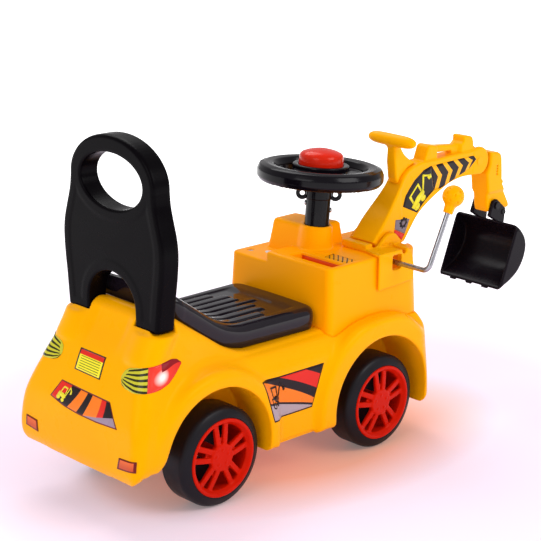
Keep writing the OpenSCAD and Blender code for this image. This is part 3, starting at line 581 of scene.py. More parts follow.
# ------------------------------------------------------------------ backrest
BACK_HALF = [(253, 92), (276, 94.5), (300, 97), (322, 100), (345, 102), (362, 102), (378, 99.5), (392, 95.5),
             (405, 91.5), (420, 87.5), (437, 85.5)]
back = Field((LEG_X - BACK_T / 2 - 3, -106, 224), (LEG_X + BACK_T / 2 + 3, 106, BACK_HI[2] + 3), 1.5)
half_curve = curve([(z, h) for z, h in BACK_HALF], 4)
dome = [(85.5 * math.cos(a), 440 + (BACK_HI[2] - 440) * math.sin(a)) for a in np.linspace(0, math.pi, 40)]
right_edge = [(h, z) for z, h in half_curve]
outline_back = right_edge + dome + [(-h, z) for h, z in reversed(right_edge)]
face = polygon_distance(back.y, back.z, outline_back)
hole = polygon_distance(back.y, back.z, [(63 * math.cos(a), 440 + 37 * math.sin(a))
                                         for a in np.linspace(0, 2 * math.pi, 60, endpoint=False)])
gap = polygon_distance(back.y, back.z, [(-50.5, 200), (50.5, 200), (48, 275)]
                       + [(48 * math.cos(a), 275 + 44 * math.sin(a))
                          for a in np.linspace(0.05, math.pi - 0.05, 40)]
                       + [(-48, 275)])
from_mid = abs(back.x - LEG_X)
backrest = both(face, from_mid - BACK_T / 2, 5.0)
backrest = without(backrest, hole, 3.0)
backrest = without(backrest, gap, 3.0)
# a sunk panel on both faces, with a raised band round every edge
edge_depth = np.maximum(np.maximum(face, -hole), -gap)
panel = 0.5 * smoothstep(edge_depth, -12.0, -18.0)
backrest = np.maximum(backrest, from_mid - BACK_T / 2 + panel)
backrest = both(backrest, 253.0 - back.z, 5.0)
for s in (-1, 1):
    peg = both(np.hypot(back.x - LEG_X, back.y - s * LEG_Y) - 10.0, slab(back.z, 227.5, 262), 1.5)
    backrest = either(backrest, peg)
moulded("backrest_skin", back, backrest, mat_back, "body", ["backrest"])

# ------------------------------------------------------------------ wheels
def lathe(profile, n=96):
    """Closed profile of (radius, along) points turned about the local axis; radius 0 points stay single."""
    verts, rings = [], []
    for r, w in profile:
        if r < 1e-6:
            rings.append([len(verts)] * n)
            verts.append((0.0, 0.0, w))
        else:
            rings.append([len(verts) + k for k in range(n)])
            verts += [(u, v, w) for u, v in arc((0.0, 0.0), r, 0, 360 - 360 / n, n - 1)]
    faces = []
    closed = profile[0][0] > 1e-6 or profile[-1][0] > 1e-6
    count = len(rings) if closed else len(rings) - 1
    for i in range(count):
        a, b = rings[i], rings[(i + 1) % len(rings)]
        for k in range(n):
            quad = [a[k], a[(k + 1) % n], b[(k + 1) % n], b[k]]
            face = list(dict.fromkeys(quad))
            if len(face) > 2:
                faces.append(face)
    pairs = zip([profile[-1]] + profile[:-1], profile)
    area = sum(a[0] * b[1] - b[0] * a[1] for a, b in pairs)
    if area < 0:
        faces = [f[::-1] for f in faces]
    return np.array(verts), faces


def outward(verts, faces, x, side):
    """Local (u, v, along) of a wheel to the layout, on the left or the right."""
    placed = np.stack([x + verts[:, 0], side * verts[:, 2], AXLE_Z + verts[:, 1]], 1)
    return placed, faces if side < 0 else [f[::-1] for f in faces]


RIM_R = 55.0
INNER_FACE = RIM_FACE - 50.0
rim_grid = Field((-RIM_R - 2, -RIM_R - 2, RIM_FACE - 48), (RIM_R + 2, RIM_R + 2, RIM_FACE + 2), 1.0)
rim_from = np.hypot(rim_grid.x, rim_grid.y)
rim_angle = np.arctan2(rim_grid.y, rim_grid.x) - math.pi / 2
SPOKES = 5
turned = (rim_angle + math.pi / SPOKES) % (2 * math.pi / SPOKES) - math.pi / SPOKES
spoke_u, spoke_v = rim_from * np.cos(turned), abs(rim_from * np.sin(turned))
barrel = polygon_distance(rim_from, rim_grid.z, [
    (46, RIM_FACE - 44), (50, RIM_FACE - 46), (50, RIM_FACE - 4), (55, RIM_FACE - 3), (55, RIM_FACE - 0.7),
    (54.2, RIM_FACE), (50.5, RIM_FACE), (46, RIM_FACE - 6)])
bar = polygon_distance(spoke_u, spoke_v, [(12, 1.0), (12, 8.6), (49, 13.4), (49, 5.2)])
crown_face = RIM_FACE - 3.4 - 0.0022 * (rim_from - 14) ** 2
spoke = both(bar, slab(rim_grid.z, RIM_FACE - 10, crown_face), 1.3)
web = both(both(polygon_distance(spoke_u, spoke_v, [(12, -1), (12, 5), (30, 5), (30, -1)]),
                slab(rim_grid.z, RIM_FACE - 10, RIM_FACE - 7.5)), rim_from - 27)
disc = both(rim_from - 19.5, slab(rim_grid.z, RIM_FACE - 11, RIM_FACE - 2.4), 2.2)
tube = both(rim_from - 11, slab(rim_grid.z, RIM_FACE - 46, RIM_FACE - 8))
rim_shape = either(either(barrel, spoke, 1.6), either(disc, web, 1.0), 1.2)
for i in range(SPOKES):
    a = math.pi / 2 + 2 * math.pi * i / SPOKES
    dot = both(np.hypot(rim_grid.x - 11 * math.cos(a), rim_grid.y - 11 * math.sin(a)) - 1.9,
               slab(rim_grid.z, RIM_FACE - 6, RIM_FACE - 1.5), 0.6)
    rim_shape = either(rim_shape, dot, 0.4)
rim_shape = without(either(rim_shape, tube, 1.0), both(rim_from - 5.08, rim_grid.z - (RIM_FACE - 5.5)))
rim_mesh = surface(rim_grid, rim_shape)
tyre_profile = (
    [(11.3, 72.6), (50.5, 72.6), (57, INNER_FACE)]
    + arc((TYRE_R - 7, INNER_FACE + 7), 7, -90, 0, 8)
    + arc((TYRE_R - 9, RIM_FACE - 13), 9, 0, 70, 8)
    + [(58, RIM_FACE - 1.2), (56.4, RIM_FACE - 0.9), (55.3, RIM_FACE - 1.5), (55.3, RIM_FACE - 3.2),
       (50.2, RIM_FACE - 4.4), (50.2, 75.0), (11.3, 75.0)])
tyre_mesh = lathe(tyre_profile, 128)
WHEELS = {"rear_left": (0.0, 1), "rear_right": (0.0, -1),
          "front_left": (WHEELBASE, 1), "front_right": (WHEELBASE, -1)}
for place_name, (wheel_x, side) in WHEELS.items():
    rider = "wheel_" + place_name
    verts, faces = outward(*rim_mesh, wheel_x, side)
    add_mesh("rim_" + place_name + "_cast", verts, faces, mat_rim, rider, ["rim_" + place_name])
    verts, faces = outward(*tyre_mesh, wheel_x, side)
    add_mesh("tyre_" + place_name + "_round", verts, faces, mat_tyre, rider, ["tyre_" + place_name],
             sharp=38)


# ------------------------------------------------------------------ steering wheel and horn
def up_column(verts):
    """Local (u, v, along) of the leaning steering column to the layout."""
    u, v, w = verts[:, 0], verts[:, 1], verts[:, 2]
    x = COLUMN_FOOT[0] + u * math.cos(LEAN) + w * math.sin(LEAN)
    z = COLUMN_FOOT[2] - u * math.sin(LEAN) + w * math.cos(LEAN)
    return np.stack([x, v, z], 1)


sw = Field((-95, -95, WHEEL_UP - 50), (95, 95, WHEEL_UP + 9), 1.3)
sw_from = np.hypot(sw.x, sw.y)
sw_up = sw.z - WHEEL_UP
sw_angle = np.arctan2(sw.y, sw.x)
section = polygon_distance(sw_from, sw_up, [(67.4, -4), (68.8, -13), (85.4, -15.8), (88.6, -11.6),
                                            (88.6, -3.6),
                                            (86.2, 1.6), (80, 3.5), (71, 2.4)]) - 3.3
channel = polygon_distance(sw_from, sw_up, [(WHEEL_R - 16, -40), (WHEEL_R - 15, -10), (WHEEL_R - 9, -8),
                                            (WHEEL_R - 6, -11), (WHEEL_R - 6, -40)])
grips = None
for i in range(7):
    off = (sw_angle - math.radians(62 + 11.5 * i) + math.pi) % (2 * math.pi) - math.pi
    groove = both(abs(off) * WHEEL_R - 2.4, both(WHEEL_R - 9 - sw_from, -9 - sw_up))
    grips = groove if grips is None else either(grips, groove)
rim_ring = without(without(section, channel, 0.5), grips, 1.0)
hub = both(sw_from - (22 + (sw_up + 20) * 16 / 14), slab(sw_up, -20, -6), 1.0)
collar = both(sw_from - 41, slab(sw_up, -7, 7), 1.8)
neck = both(sw_from - 19.4, slab(sw_up, -44, -15), 1.0)
steering = either(either(hub, collar, 2.0), neck, 2.0)


def turned_by(g, degrees):
    """Distance along a direction in the wheel's plane, and away from it."""
    a = math.radians(degrees)
    return g.x * math.cos(a) + g.y * math.sin(a), abs(-g.x * math.sin(a) + g.y * math.cos(a))


for degrees in (180, 55, -55):
    along, across = turned_by(sw, degrees)
    arm = both(both(across - 16 - 0.0022 * (along - 55) ** 2, slab(along, 28, 76)), slab(sw_up, -12, -1.6), 2.0)
    steering = either(steering, arm, 3.0)
steering = either(steering, rim_ring, 2.0)
for degrees in (-44, 136):
    along, across = turned_by(sw, degrees)
    lug = both(np.hypot(along - 24, sw_up + 37) - 9.5, across - 3, 0.8)
    lug = without(lug, np.hypot(along - 24, sw_up + 37) - 3.6, 0.5)
    steering = either(steering, lug, 0.5)
steering = without(steering, both(sw_from - 33.1, -6 - sw_up), 0.8)
steering = each_without(steering, 0.0, both(sw_from - 18.3, sw_up + 44), both(sw_from - 5.0, sw_up + 29))
verts, faces = surface(sw, steering)
add_mesh("steering_wheel_cast", up_column(verts), faces, mat_wheel, "steering", ["steering_wheel"])

horn_profile = [(29.5, -2), (32.0, -2), (32.5, -1.2), (32.4, 10), (32.2, 17), (31.2, 20.8), (28.4, 23.8),
                (22, 26.4), (14, 28.4), (7, 29.5), (4.5, 29.7), (3.0, 29.3), (0, 28.9), (0, 18), (29.5, 18)]
verts, faces = lathe([(r, w + WHEEL_UP) for r, w in horn_profile], 96)
add_mesh("horn_dome", up_column(verts), faces, mat_button, "horn", ["horn_button"], sharp=40)

# ------------------------------------------------------------------ arm bracket
BOOM_PIVOT, ELBOW, BUCKET_PIVOT = (362.0, 288.0), (577.0, 381.0), (618.0, 305.0)
CRANK_FOOT, CRANK_TOP, CRANK_Y = (347.0, 272.0), (385.0, 352.0), -166.0
SADDLE_Z = CONSOLE_Z_RIGHT + 0.2
br = Field((304, -111, 232), (390, -12, 312), 1.2)
br_y = abs(br.y - ARM_Y)
saddle = both(br.plan([(383.6, -16.4), (331, -16.4), (328, -30), (324, -42), (320, -58),
                       (316, -76), (311, -94), (309.4, -107.6), (371, -107.6), (383.6, -94)]),
              slab(br.z, SADDLE_Z, SADDLE_Z + 4.8), 1.8)
skirt_side = br.side([(309.4, 292), (309.4, 236.4), (345, 238), (383.6, 240.4), (383.6, 262),
                      (381, 275), (376, 284), (370, 292)])
skirt = both(both(skirt_side, br.z - SADDLE_Z - 4.6, 1.5), slab(br.y, -108, -104.6), 1.2)
ear_side = br.side(curve([(326, 286), (337, 293), (346, 301), (354, 306.2), (362, 307.8),
                          (371, 306.2), (378, 300), (382, 291), (383, 280)], 3))
ears = both(both(ear_side, SADDLE_Z - br.z), abs(br_y - 28) - 3.5, 2.2)
boss_side = br.round(BOOM_PIVOT, 10)
ears = either(ears, both(boss_side, abs(br_y - 28) - 3.5, 0.6))
lip = br.box((316.5, ARM_Y - 24, SADDLE_Z), (331, ARM_Y + 25, SADDLE_Z + 11), 2.2)
bracket = either(either(saddle, skirt, 0.8), either(ears, lip, 1.5), 2.6)
bracket = without(bracket, br.box((333, ARM_Y - 23.6, 266), (400, ARM_Y + 23.6, 295)), 0.6)
bracket = without(bracket, br.box((337, -130, 262), (356, -100, 284), 3.0), 0.8)
bracket = without(bracket, both(boss_side + 5, br.y + 16))
moulded("arm_bracket_cast", br, bracket, mat_arm, "body", ["arm_bracket"])

# ------------------------------------------------------------------ boom and its handle
BOOM_LOWER = [(401, 287), (416, 303), (435, 320), (459, 334), (487, 348), (510, 357), (535, 361.5),
              (556, 361.5)]
BOOM_REAR = [(333, 297), (354, 321), (376, 345), (393, 365), (405, 382), (418, 392), (440, 398)]
bm = Field((326, ARM_Y - 26, 268), (602, ARM_Y + 26, 428), 1.3)
bm_y = abs(bm.y - ARM_Y)
boom_outline = (arc(BOOM_PIVOT, 17, -150, -30) + curve(BOOM_LOWER, 5) + arc(ELBOW, 22, -75, 95, 16)
                + [(556, 400)] + curve(BOOM_REAR, 5)[::-1])
boom_side = bm.side(boom_outline)
beam = both(boom_side, bm_y - 15, 3.2)
wide = 23 - 8 * smoothstep(0.55 * bm.x + 0.83 * bm.z, 452, 538)
boom = either(beam, both(boom_side, bm_y - wide, 3.2))
# shallow recess in the face, inside a raised border
border = both(boom_side + 4.0, slab(bm.x, 396, 562), 2.0)
boom = np.maximum(boom, -both(border, wide - 0.6 - bm_y))
ram = bm.side(curve([(450, 395), (455, 409), (461, 420.6), (478, 418), (496, 415.6), (537, 412.6),
                     (541, 424), (553, 422.8), (562, 418.6), (566, 398)], 3) + [(556, 392)])
rod_part = smoothstep(bm.x, 478, 485) * smoothstep(bm.x, 537, 531)
ram = both(ram, bm_y - 12 + 5.5 * rod_part, 2.4)
ram = without(ram, both(bm.side([(484, 397.5), (484, 406), (518, 404.4), (518, 396)]),
                        bm_y - 40), 0.6)
boom = either(boom, ram, 0.8)
lug_side = either(bm.round(BOOM_PIVOT, 14),
                  segment_distance(bm.x, bm.z, BOOM_PIVOT, CRANK_FOOT) - 8, 8.0)
boom = either(boom, both(lug_side, slab(bm.y, ARM_Y - 23, ARM_Y - 9), 0.8))
cavity = both(boom_side + 4.0, bm_y - 11)
boom = without(boom, both(cavity, bm.x - 548))
fork = both(bm.round(ELBOW, 40), bm_y - 7.4)
boom = without(boom, both(fork, 540 - bm.x), 0.6)
pin_room = bm.round(BOOM_PIVOT, 5.08)
boom = without(either(boom, both(pin_room - 5, bm_y - 22)), pin_room)
boom = without(boom, bm.round(ELBOW, 4.0))
boom = without(boom, both(bm.round(CRANK_FOOT, 3.8), bm.y - ARM_Y + 8))
boom_skin = moulded("boom_cast", bm, boom, mat_arm, "boom", ["boom"])

hd = Field((376, ARM_Y - 47, 368), (440, ARM_Y + 47, 449), 1.1)
hd_y = abs(hd.y - ARM_Y)
grip_r = 9.5 * np.sqrt(np.clip(1 - (hd_y / 45.4) ** 5, 0.0, 1))
grip = (np.hypot(hd.x - 391, (hd.z - 437) * 1.04) - grip_r) * 0.8
grip = both(grip, hd_y - 44.3, 2.0)
stem_side = hd.side([(388, 436), (400, 437)] + curve([(404, 424), (412, 413), (424, 404),
                                                      (436, 398.4)], 4)
                    + [(418, 392.6), (405, 382.6), (397, 371.4), (392.5, 380), (389, 405)])
stem = both(stem_side, hd_y - 9 + 1.5 * smoothstep(hd.z, 400, 432), 3.0)
moulded("arm_handle_cast", hd, either(grip, stem, 5.0), mat_arm, "boom", ["arm_handle"])

# ------------------------------------------------------------------ stick
st = Field((560, ARM_Y - 19.5, 292), (660, ARM_Y + 19.5, 397), 1.0)
st_y = abs(st.y - ARM_Y)
stick_side = st.side([(594.4, 358), (602, 304), (604.6, 295.6), (653, 295.4), (656.4, 297.5),
                      (655.6, 303), (648, 315), (640, 328), (634.4, 337), (636.6, 341),
                      (632.4, 345.4), (631, 362), (629, 380), (626, 386), (621, 389),
                      (601.8, 391.8), (600.8, 372)])
stick = both(stick_side, st_y - 14 - 3.4 * smoothstep(st.z, 322, 330), 3.4)
tongue = both(either(st.round(ELBOW, 14),
                     both(slab(st.x, 577, 608), slab(st.z, 362, 390)), 6.0), st_y - 7, 0.8)
stick = either(stick, both(tongue, st.x - 610))
stick = each_without(stick, 0.0, both(stick_side + 3.5, both(st_y - 10.5, slab(st.z, 318, 386))),
                     both(both(stick_side + 4.0, st_y - 10.5), st.z - 320))
lug_boss = both(st.round(BUCKET_PIVOT, 9), st_y - 13.5)
stick = either(stick, lug_boss)
stick = without(stick, st.round(ELBOW, 4.08))
stick = without(stick, st.round(BUCKET_PIVOT, 4.08))
for i in range(4):
    vent = both(slab(st.x, 616.4, 619.8), slab(st.z, 353.2 + 4.4 * i, 356.0 + 4.4 * i), 0.6)
    stick = without(stick, both(vent, st.y - ARM_Y + 11.5), 0.3)
moulded("stick_cast", st, stick, mat_arm, "stick", ["stick"])

# ------------------------------------------------------------------ bucket
BACK_OF_BUCKET = [(582, 183), (593, 188), (612, 196), (628, 207), (640, 224), (644.6, 243), (641, 258),
                  (632, 270), (623, 279), (619, 281)]
half_w = (BUCKET_HI[1] - BUCKET_LO[1]) / 2
bk = Field((576, ARM_Y - half_w - 2, 175), (648, ARM_Y + half_w + 2, 318), 1.15)
bk_y = abs(bk.y - ARM_Y)
round_back = curve(BACK_OF_BUCKET, 6)
outer = both(bk.side(round_back), bk_y - half_w, 4.0)
inner = both(bk.side([(560, 184)] + round_back + [(560, 300)]) + 3.2, bk_y - half_w + 3.2, 3.0)
bucket = without(outer, inner, 1.2)
# rounded corners of the mouth, seen square to it
mouth_v = (bk.x - 582) * 37 / 104.9 + (bk.z - 183) * 98 / 104.9
mouth = both(slab(mouth_v, -3, 106.5), bk_y - half_w - 0.5, 14.0)
bucket = both(bucket, mouth, 0.8)
for i in (-1, 0, 1):
    tooth_side = bk.side([(583, 184.5), (595, 189.5), (592, 186), (581.6, 181.8)]) - 0.6
    bucket = either(bucket, both(tooth_side, abs(bk.y - ARM_Y - i * 32) - 6, 0.9), 1.0)
for s in (-1, 1):
    lug_side = bk.side([(603, 291), (611, 312), (618, 313.6), (638.6, 297), (636, 270), (628, 274),
                        (620, 281)]) - 1.6
    bucket = either(bucket, both(lug_side, abs(bk.y - ARM_Y - s * 17.4) - 3.0, 1.2), 1.0)
bucket = without(bucket, both(bk.round(BUCKET_PIVOT, 4), bk_y - 40))
bucket = without(bucket, both(bk.side([(600, 284), (600, 330), (660, 330), (660, 292)]),
                              bk_y - 14.4))
moulded("bucket_cast", bk, bucket, mat_bucket, "bucket", ["bucket"])
lug_cap, lug_cap_faces = lathe([(0, 0), (4.2, 0), (4.2, 1.4), (3.4, 2.2), (0, 2.2)], 32)
for s in (-1, 1):
    cap = np.stack([634.5 + lug_cap[:, 0], ARM_Y + s * (20.2 + lug_cap[:, 2]), 292.5 + lug_cap[:, 1]], 1)
    add_mesh("lug_screw_" + ("left" if s > 0 else "right"), cap,
             lug_cap_faces if s < 0 else [f[::-1] for f in lug_cap_faces], mat_pan, "bucket",
             sharp=35)

# ------------------------------------------------------------------ knob of the crank
knob_tilt = math.atan2(CRANK_TOP[0] - CRANK_FOOT[0], CRANK_TOP[1] - CRANK_FOOT[1])
knob_up = math.hypot(CRANK_TOP[0] - CRANK_FOOT[0], CRANK_TOP[1] - CRANK_FOOT[1]) - 2
kn = Field((-17, -17, -1), (17, 17, 43), 0.8)
kn_from = np.hypot(kn.x, kn.y)
kn_angle = np.arctan2(kn.y, kn.x)
ball = np.sqrt(kn.x ** 2 + kn.y ** 2 + (kn.z - 26) ** 2) - 15.9
flutes = 0.5 * smoothstep(np.cos(kn_angle * 8), -0.2, 0.5)
collar = both(kn_from - 6.6 - 0.08 * kn.z - flutes, slab(kn.z, 0.3, 13), 0.8)
knob = either(ball, collar, 2.0)
for ring, (height, count) in enumerate(((26, 8), (34.5, 5), (17.5, 7))):
    for i in range(count):
        a = 2 * math.pi * (i + 0.5 * ring) / count
        r = math.sqrt(max(0.0, 15.9 ** 2 - (height - 26) ** 2))
        dimple = np.sqrt((kn.x - r * math.cos(a)) ** 2 + (kn.y - r * math.sin(a)) ** 2
                         + ((kn.z - height) * 0.75) ** 2) - 1.7
        knob = without(knob, dimple, 0.5)
knob = without(knob, both(kn_from - 3.75, kn.z - 10))
verts, faces = surface(kn, knob)
u, v, w = verts[:, 0], verts[:, 1], verts[:, 2] + knob_up
verts = np.stack([CRANK_FOOT[0] + u * math.cos(knob_tilt) + w * math.sin(knob_tilt), CRANK_Y + v,
                  CRANK_FOOT[1] - u * math.sin(knob_tilt) + w * math.cos(knob_tilt)], 1)
add_mesh("crank_knob_cast", verts, faces, mat_knob, "boom", ["crank_knob"])

# ------------------------------------------------------------------ stickers, lamps and reflectors
def tree_of(obj):
    """Search tree of a piece's surface, in layout millimetres."""
    verts = [Vector((np.array(obj.matrix_world @ v.co) - ORIGIN) / MM) for v in obj.data.vertices]
    return BVHTree.FromPolygons(verts, [tuple(p.vertices) for p in obj.data.polygons])


# Each of these gives the ray that drops a flat point (p, q) of a sticker onto the surface.
def from_behind(p, q):
    return (-400, p, q), (1, 0, 0)


def from_right(p, q):
    return (p, -400, q), (0, 1, 0)


def from_left(p, q):
    return (p, 400, q), (0, -1, 0)


def from_above(p, q):
    return (p, q, 400), (0, 0, -1)


def round_corner(side):
    """Rays towards an upright axis inside a rear corner; p is the angle in degrees."""
    def cast(p, q):
        a = math.radians(p)
        ahead, across = math.cos(a), side * math.sin(a)
        return (-70 + 300 * ahead, side * 60 - 300 * across, q), (-ahead, across, 0)
    return cast


def spread(points, n):
    """n + 1 points evenly along a polyline."""
    points = np.array(points, float)
    run = np.concatenate([[0], np.cumsum(np.hypot(*np.diff(points, axis=0).T))])
    at = np.linspace(0, run[-1], n + 1)
    return np.stack([np.interp(at, run, points[:, k]) for k in (0, 1)], 1)


class Patch:
    """A sticker's area: (s, t) in the unit square, laid between two polylines and dropped onto a surface."""

    def __init__(self, tree, cast, top, bottom, n=28):
        self.tree, self.cast, self.n = tree, cast, n
        self.top, self.bottom = spread(top, n), spread(bottom, n)

    def drop(self, s, t):
        i = np.linspace(0, 1, self.n + 1)
        high = [np.interp(s, i, self.top[:, k]) for k in (0, 1)]
        low = [np.interp(s, i, self.bottom[:, k]) for k in (0, 1)]
        origin, direction = self.cast(*[low[k] + (high[k] - low[k]) * t for k in (0, 1)])
        hit, normal, _, _ = self.tree.ray_cast(Vector(origin), Vector(direction))
        if normal.dot(Vector(direction)) > 0:
            normal = -normal
        return np.array(hit), np.array(normal)

    def slab(self, name, points, faces, material, body, slot, lift, sink=0.4):
        """Closed thin slab over (s, t) points, with faces that index them."""
        drops = [self.drop(s, t) for s, t in points]
        front = [p + lift * n for p, n in drops]
        back = [p - sink * n for p, n in drops]
        count = len(front)
        f = faces[0]
        turn = np.cross(front[f[1]] - front[f[0]], front[f[2]] - front[f[0]])
        if np.dot(turn, drops[f[0]][1]) < 0:
            faces = [g[::-1] for g in faces]
        edges = {(a, b) for g in faces for a, b in zip(g, list(g[1:]) + [g[0]])}
        rim = [(a, b) for a, b in edges if (b, a) not in edges]
        everything = [tuple(g) for g in faces] + [tuple(count + k for k in reversed(g)) for g in faces]
        everything += [(b, a, count + a, count + b) for a, b in rim]
        add_mesh(name, np.array(front + back), everything, material, body, uvs=list(points) * 2)

    def cover(self, name, material, body, slot, rows=10, lift=0.35):
        points = [(i / self.n, j / rows) for i in range(self.n + 1) for j in range(rows + 1)]
        step = rows + 1
        faces = [[k, k + step, k + step + 1, k + 1]
                 for k in (i * step + j for i in range(self.n) for j in range(rows))]
        self.slab(name, points, faces, material, body, slot, lift)

    def shape(self, name, polygon, material, body, slot, lift=0.7):
        flat = [Vector((s, t, 0)) for s, t in polygon]
        faces = [list(f) for f in tessellate_polygon([flat])]
        self.slab(name, polygon, faces, material, body, slot, lift, 0.1)


def sticker(name, roughness=0.3):
    """Node tree of a printed sticker, and its (u, v) sockets."""
    n = Nodes(name)
    uv = n.add("ShaderNodeSeparateXYZ", Vector=n.add("ShaderNodeTexCoord").outputs["UV"])
    n.set(n.shader, "Roughness", n.span(n.noise(40.0), 0.3, 0.7, roughness * 0.85, roughness * 1.2))
    n.shader.inputs["Specular IOR Level"].default_value = 0.2
    return n, uv.outputs[0], uv.outputs[1]


def ramp(n, value, stops, sharp=True):
    node = n.add("ShaderNodeValToRGB", Fac=value)
    node.color_ramp.interpolation = "CONSTANT" if sharp else "LINEAR"
    for i, (position, colour) in enumerate(stops):
        element = node.color_ramp.elements[i] if i < 2 else node.color_ramp.elements.new(position)
        element.position, element.color = position, rgba(colour)
    return node.outputs[0]


def slant(n, u, v, k, scale=1.0, shift=0.0):
    """scale * (u + k v) + shift, wrapped into 0..1 when scale is more than one."""
    total = n.math("MULTIPLY_ADD", n.math("MULTIPLY_ADD", v, k, u), scale, shift)
    return n.math("FRACT", total) if scale > 1.5 else total


def framed(n, u, v, edge_u, edge_v, inside, colour):
    """inside within a frame of that colour."""
    near = [n.math("DIVIDE", n.math("MINIMUM", w, n.math("SUBTRACT", 1.0, w)), edge)
            for w, edge in ((u, edge_u), (v, edge_v))]
    within = n.math("GREATER_THAN", n.math("MINIMUM", *near), 1.0)
    return n.mix(within, rgba(colour), inside)


INK, PRINT_RED, PRINT_ORANGE = (0.012, 0.006, 0.008), (0.72, 0.02, 0.01), (0.90, 0.20, 0.01)
PRINT_YELLOW, PRINT_GREY, DARK_RED = (0.92, 0.80, 0.03), (0.33, 0.24, 0.31), (0.16, 0.008, 0.006)


def plain_sticker(name, colour, roughness=0.3):
    """One flat colour, with slight patches; used for print, and for the painted shade that lines the tray."""
    n, _, _ = sticker(name, roughness)
    n.set(n.shader, "Base Color", n.mix(n.noise(30.0), rgba(colour), rgba(colour, 0.86)))
    return n.material


mat_print_yellow = plain_sticker("print_yellow", PRINT_YELLOW)
mat_ink = plain_sticker("print_black", INK)

DIGGER = [
    [(0.04, 0.22), (0.60, 0.22), (0.66, 0.30), (0.64, 0.44), (0.36, 0.46), (0.04, 0.46)],
    [(0.14, 0.46), (0.20, 0.46), (0.26, 0.76), (0.54, 0.76), (0.54, 0.46), (0.59, 0.46), (0.59, 0.84),
     (0.20, 0.84)],
    [(0.60, 0.40), (0.66, 0.40), (0.82, 0.92), (0.77, 0.95)],
    [(0.77, 0.95), (0.75, 0.89), (0.95, 0.70), (0.99, 0.74)],
    [(0.88, 0.72), (1.0, 0.76), (1.02, 0.60), (0.92, 0.56)],
    arc((0.16, 0.14), 0.135, 0, 342, 18),
    arc((0.52, 0.12), 0.115, 0, 342, 18),
]


def pictogram(name, patch, s0, s1, t0, t1, body, material):
    """A generic digger, in one colour, inside part of a patch."""
    for i, polygon in enumerate(DIGGER):
        placed = [(s0 + (s1 - s0) * a, t0 + (t1 - t0) * b) for a, b in polygon]
        patch.shape("%s_%d" % (name, i), placed, material, body, "shell_yellow")


skin = tree_of(body_skin)

# label on the slope of the tail
n, u, v = sticker("tail_label")
line = n.math("MULTIPLY", n.math("LESS_THAN", n.math("FRACT", n.math("MULTIPLY", v, 9.0)), 0.3),
              n.math("LESS_THAN", n.math("ABSOLUTE", n.math("SUBTRACT", u, 0.5)), 0.38))
page = n.mix(line, rgba(PRINT_YELLOW), (0.12, 0.14, 0.01, 1))
page = n.mix(n.math("GREATER_THAN", v, 0.74), page, rgba(PRINT_RED))
n.set(n.shader, "Base Color", framed(n, u, v, 0.045, 0.05, page, INK))
label = Patch(skin, from_behind, [(31.4, 213.5), (-22.0, 213.2)], [(28.8, 187.5), (-25.5, 186.5)], 12)
label.cover("tail_label", n.material, "body", "shell_yellow", 6)

# plate under it
n, u, v = sticker("tail_plate")
bands = ramp(n, slant(n, u, v, -0.16, 1.0, 0.16), [
    (0.0, PRINT_RED), (0.24, INK), (0.42, PRINT_ORANGE), (0.56, INK), (0.66, PRINT_ORANGE), (0.84, PRINT_RED),
    (0.93, INK)])
foot = n.math("LESS_THAN", v, n.math("MULTIPLY", n.math("SUBTRACT", u, 0.45), 0.75))
bands = n.mix(foot, bands, rgba(PRINT_GREY))
n.set(n.shader, "Base Color", framed(n, u, v, 0.014, 0.05, bands, DARK_RED))
plate = Patch(skin, from_behind, [(45.2, 169.8), (0, 168.4), (-57.1, 167.2)],
              [(60.5, 146.0), (30, 139.6), (-1.6, 137.0), (-40, 136.6), (-82.8, 139.0)], 36)
plate.cover("tail_plate", n.material, "body", "pan_black", 8)
pictogram("plate_digger", plate, 0.07, 0.27, 0.10, 0.92, "body", mat_print_yellow)

# reflectors on the bumper, each lens painted lighter toward its top as a painted sheen
n, u, v = sticker("reflector", 0.2)
painted_glow = ramp(n, v, [(0.0, (0.50, 0.06, 0.02)), (1.0, (0.85, 0.16, 0.03))], False)
n.set(n.shader, "Base Color", framed(n, u, v, 0.10, 0.12, painted_glow, DARK_RED))
for s, name, near, far in ((1, "left", 82, 106), (-1, "right", 93, 123)):
    lens = Patch(skin, from_behind, [(s * near, 105.5), (s * far, 107.5)],
                 [(s * (near - 3), 90.0), (s * far, 93.0)], 10)
    lens.cover("reflector_" + name, n.material, "body", "rim_red", 5, lift=0.9)

# tail lamps wrapped round the corners: a striped yellow-green part and a red part with a bright spot
green, u, v = sticker("lamp_green", 0.18)
rays = green.math("FRACT", green.math("MULTIPLY_ADD", green.math("SUBTRACT", v, 0.5),
                                      green.math("MULTIPLY_ADD", u, -2.2, 6.4), 0.2))
dark = green.math("MULTIPLY", green.math("LESS_THAN", rays, 0.46),
                  green.math("GREATER_THAN", green.math("MULTIPLY_ADD", v, -0.35, u), 0.02))
green.set(green.shader, "Base Color", green.mix(dark, (0.56, 0.52, 0.03, 1), (0.03, 0.03, 0.005, 1)))
red, u, v = sticker("lamp_red", 0.15)
right_of = red.math("POWER", red.math("SUBTRACT", u, 0.30), 2.0)
over = red.math("POWER", red.math("MULTIPLY_ADD", v, 0.6, -0.252), 2.0)
away = red.math("SQRT", red.math("ADD", right_of, over))
lit = ramp(red, away, [(0.0, (1.0, 0.95, 0.9)), (0.06, (1.0, 0.85, 0.78)), (0.2, (0.80, 0.05, 0.03)),
                       (1.0, (0.62, 0.01, 0.01))], False)
top_band = red.math("MULTIPLY", red.math("GREATER_THAN", v, 0.62), red.math("GREATER_THAN", u, 0.30))
red.set(red.shader, "Base Color", red.mix(top_band, lit, (0.26, 0.008, 0.012, 1)))
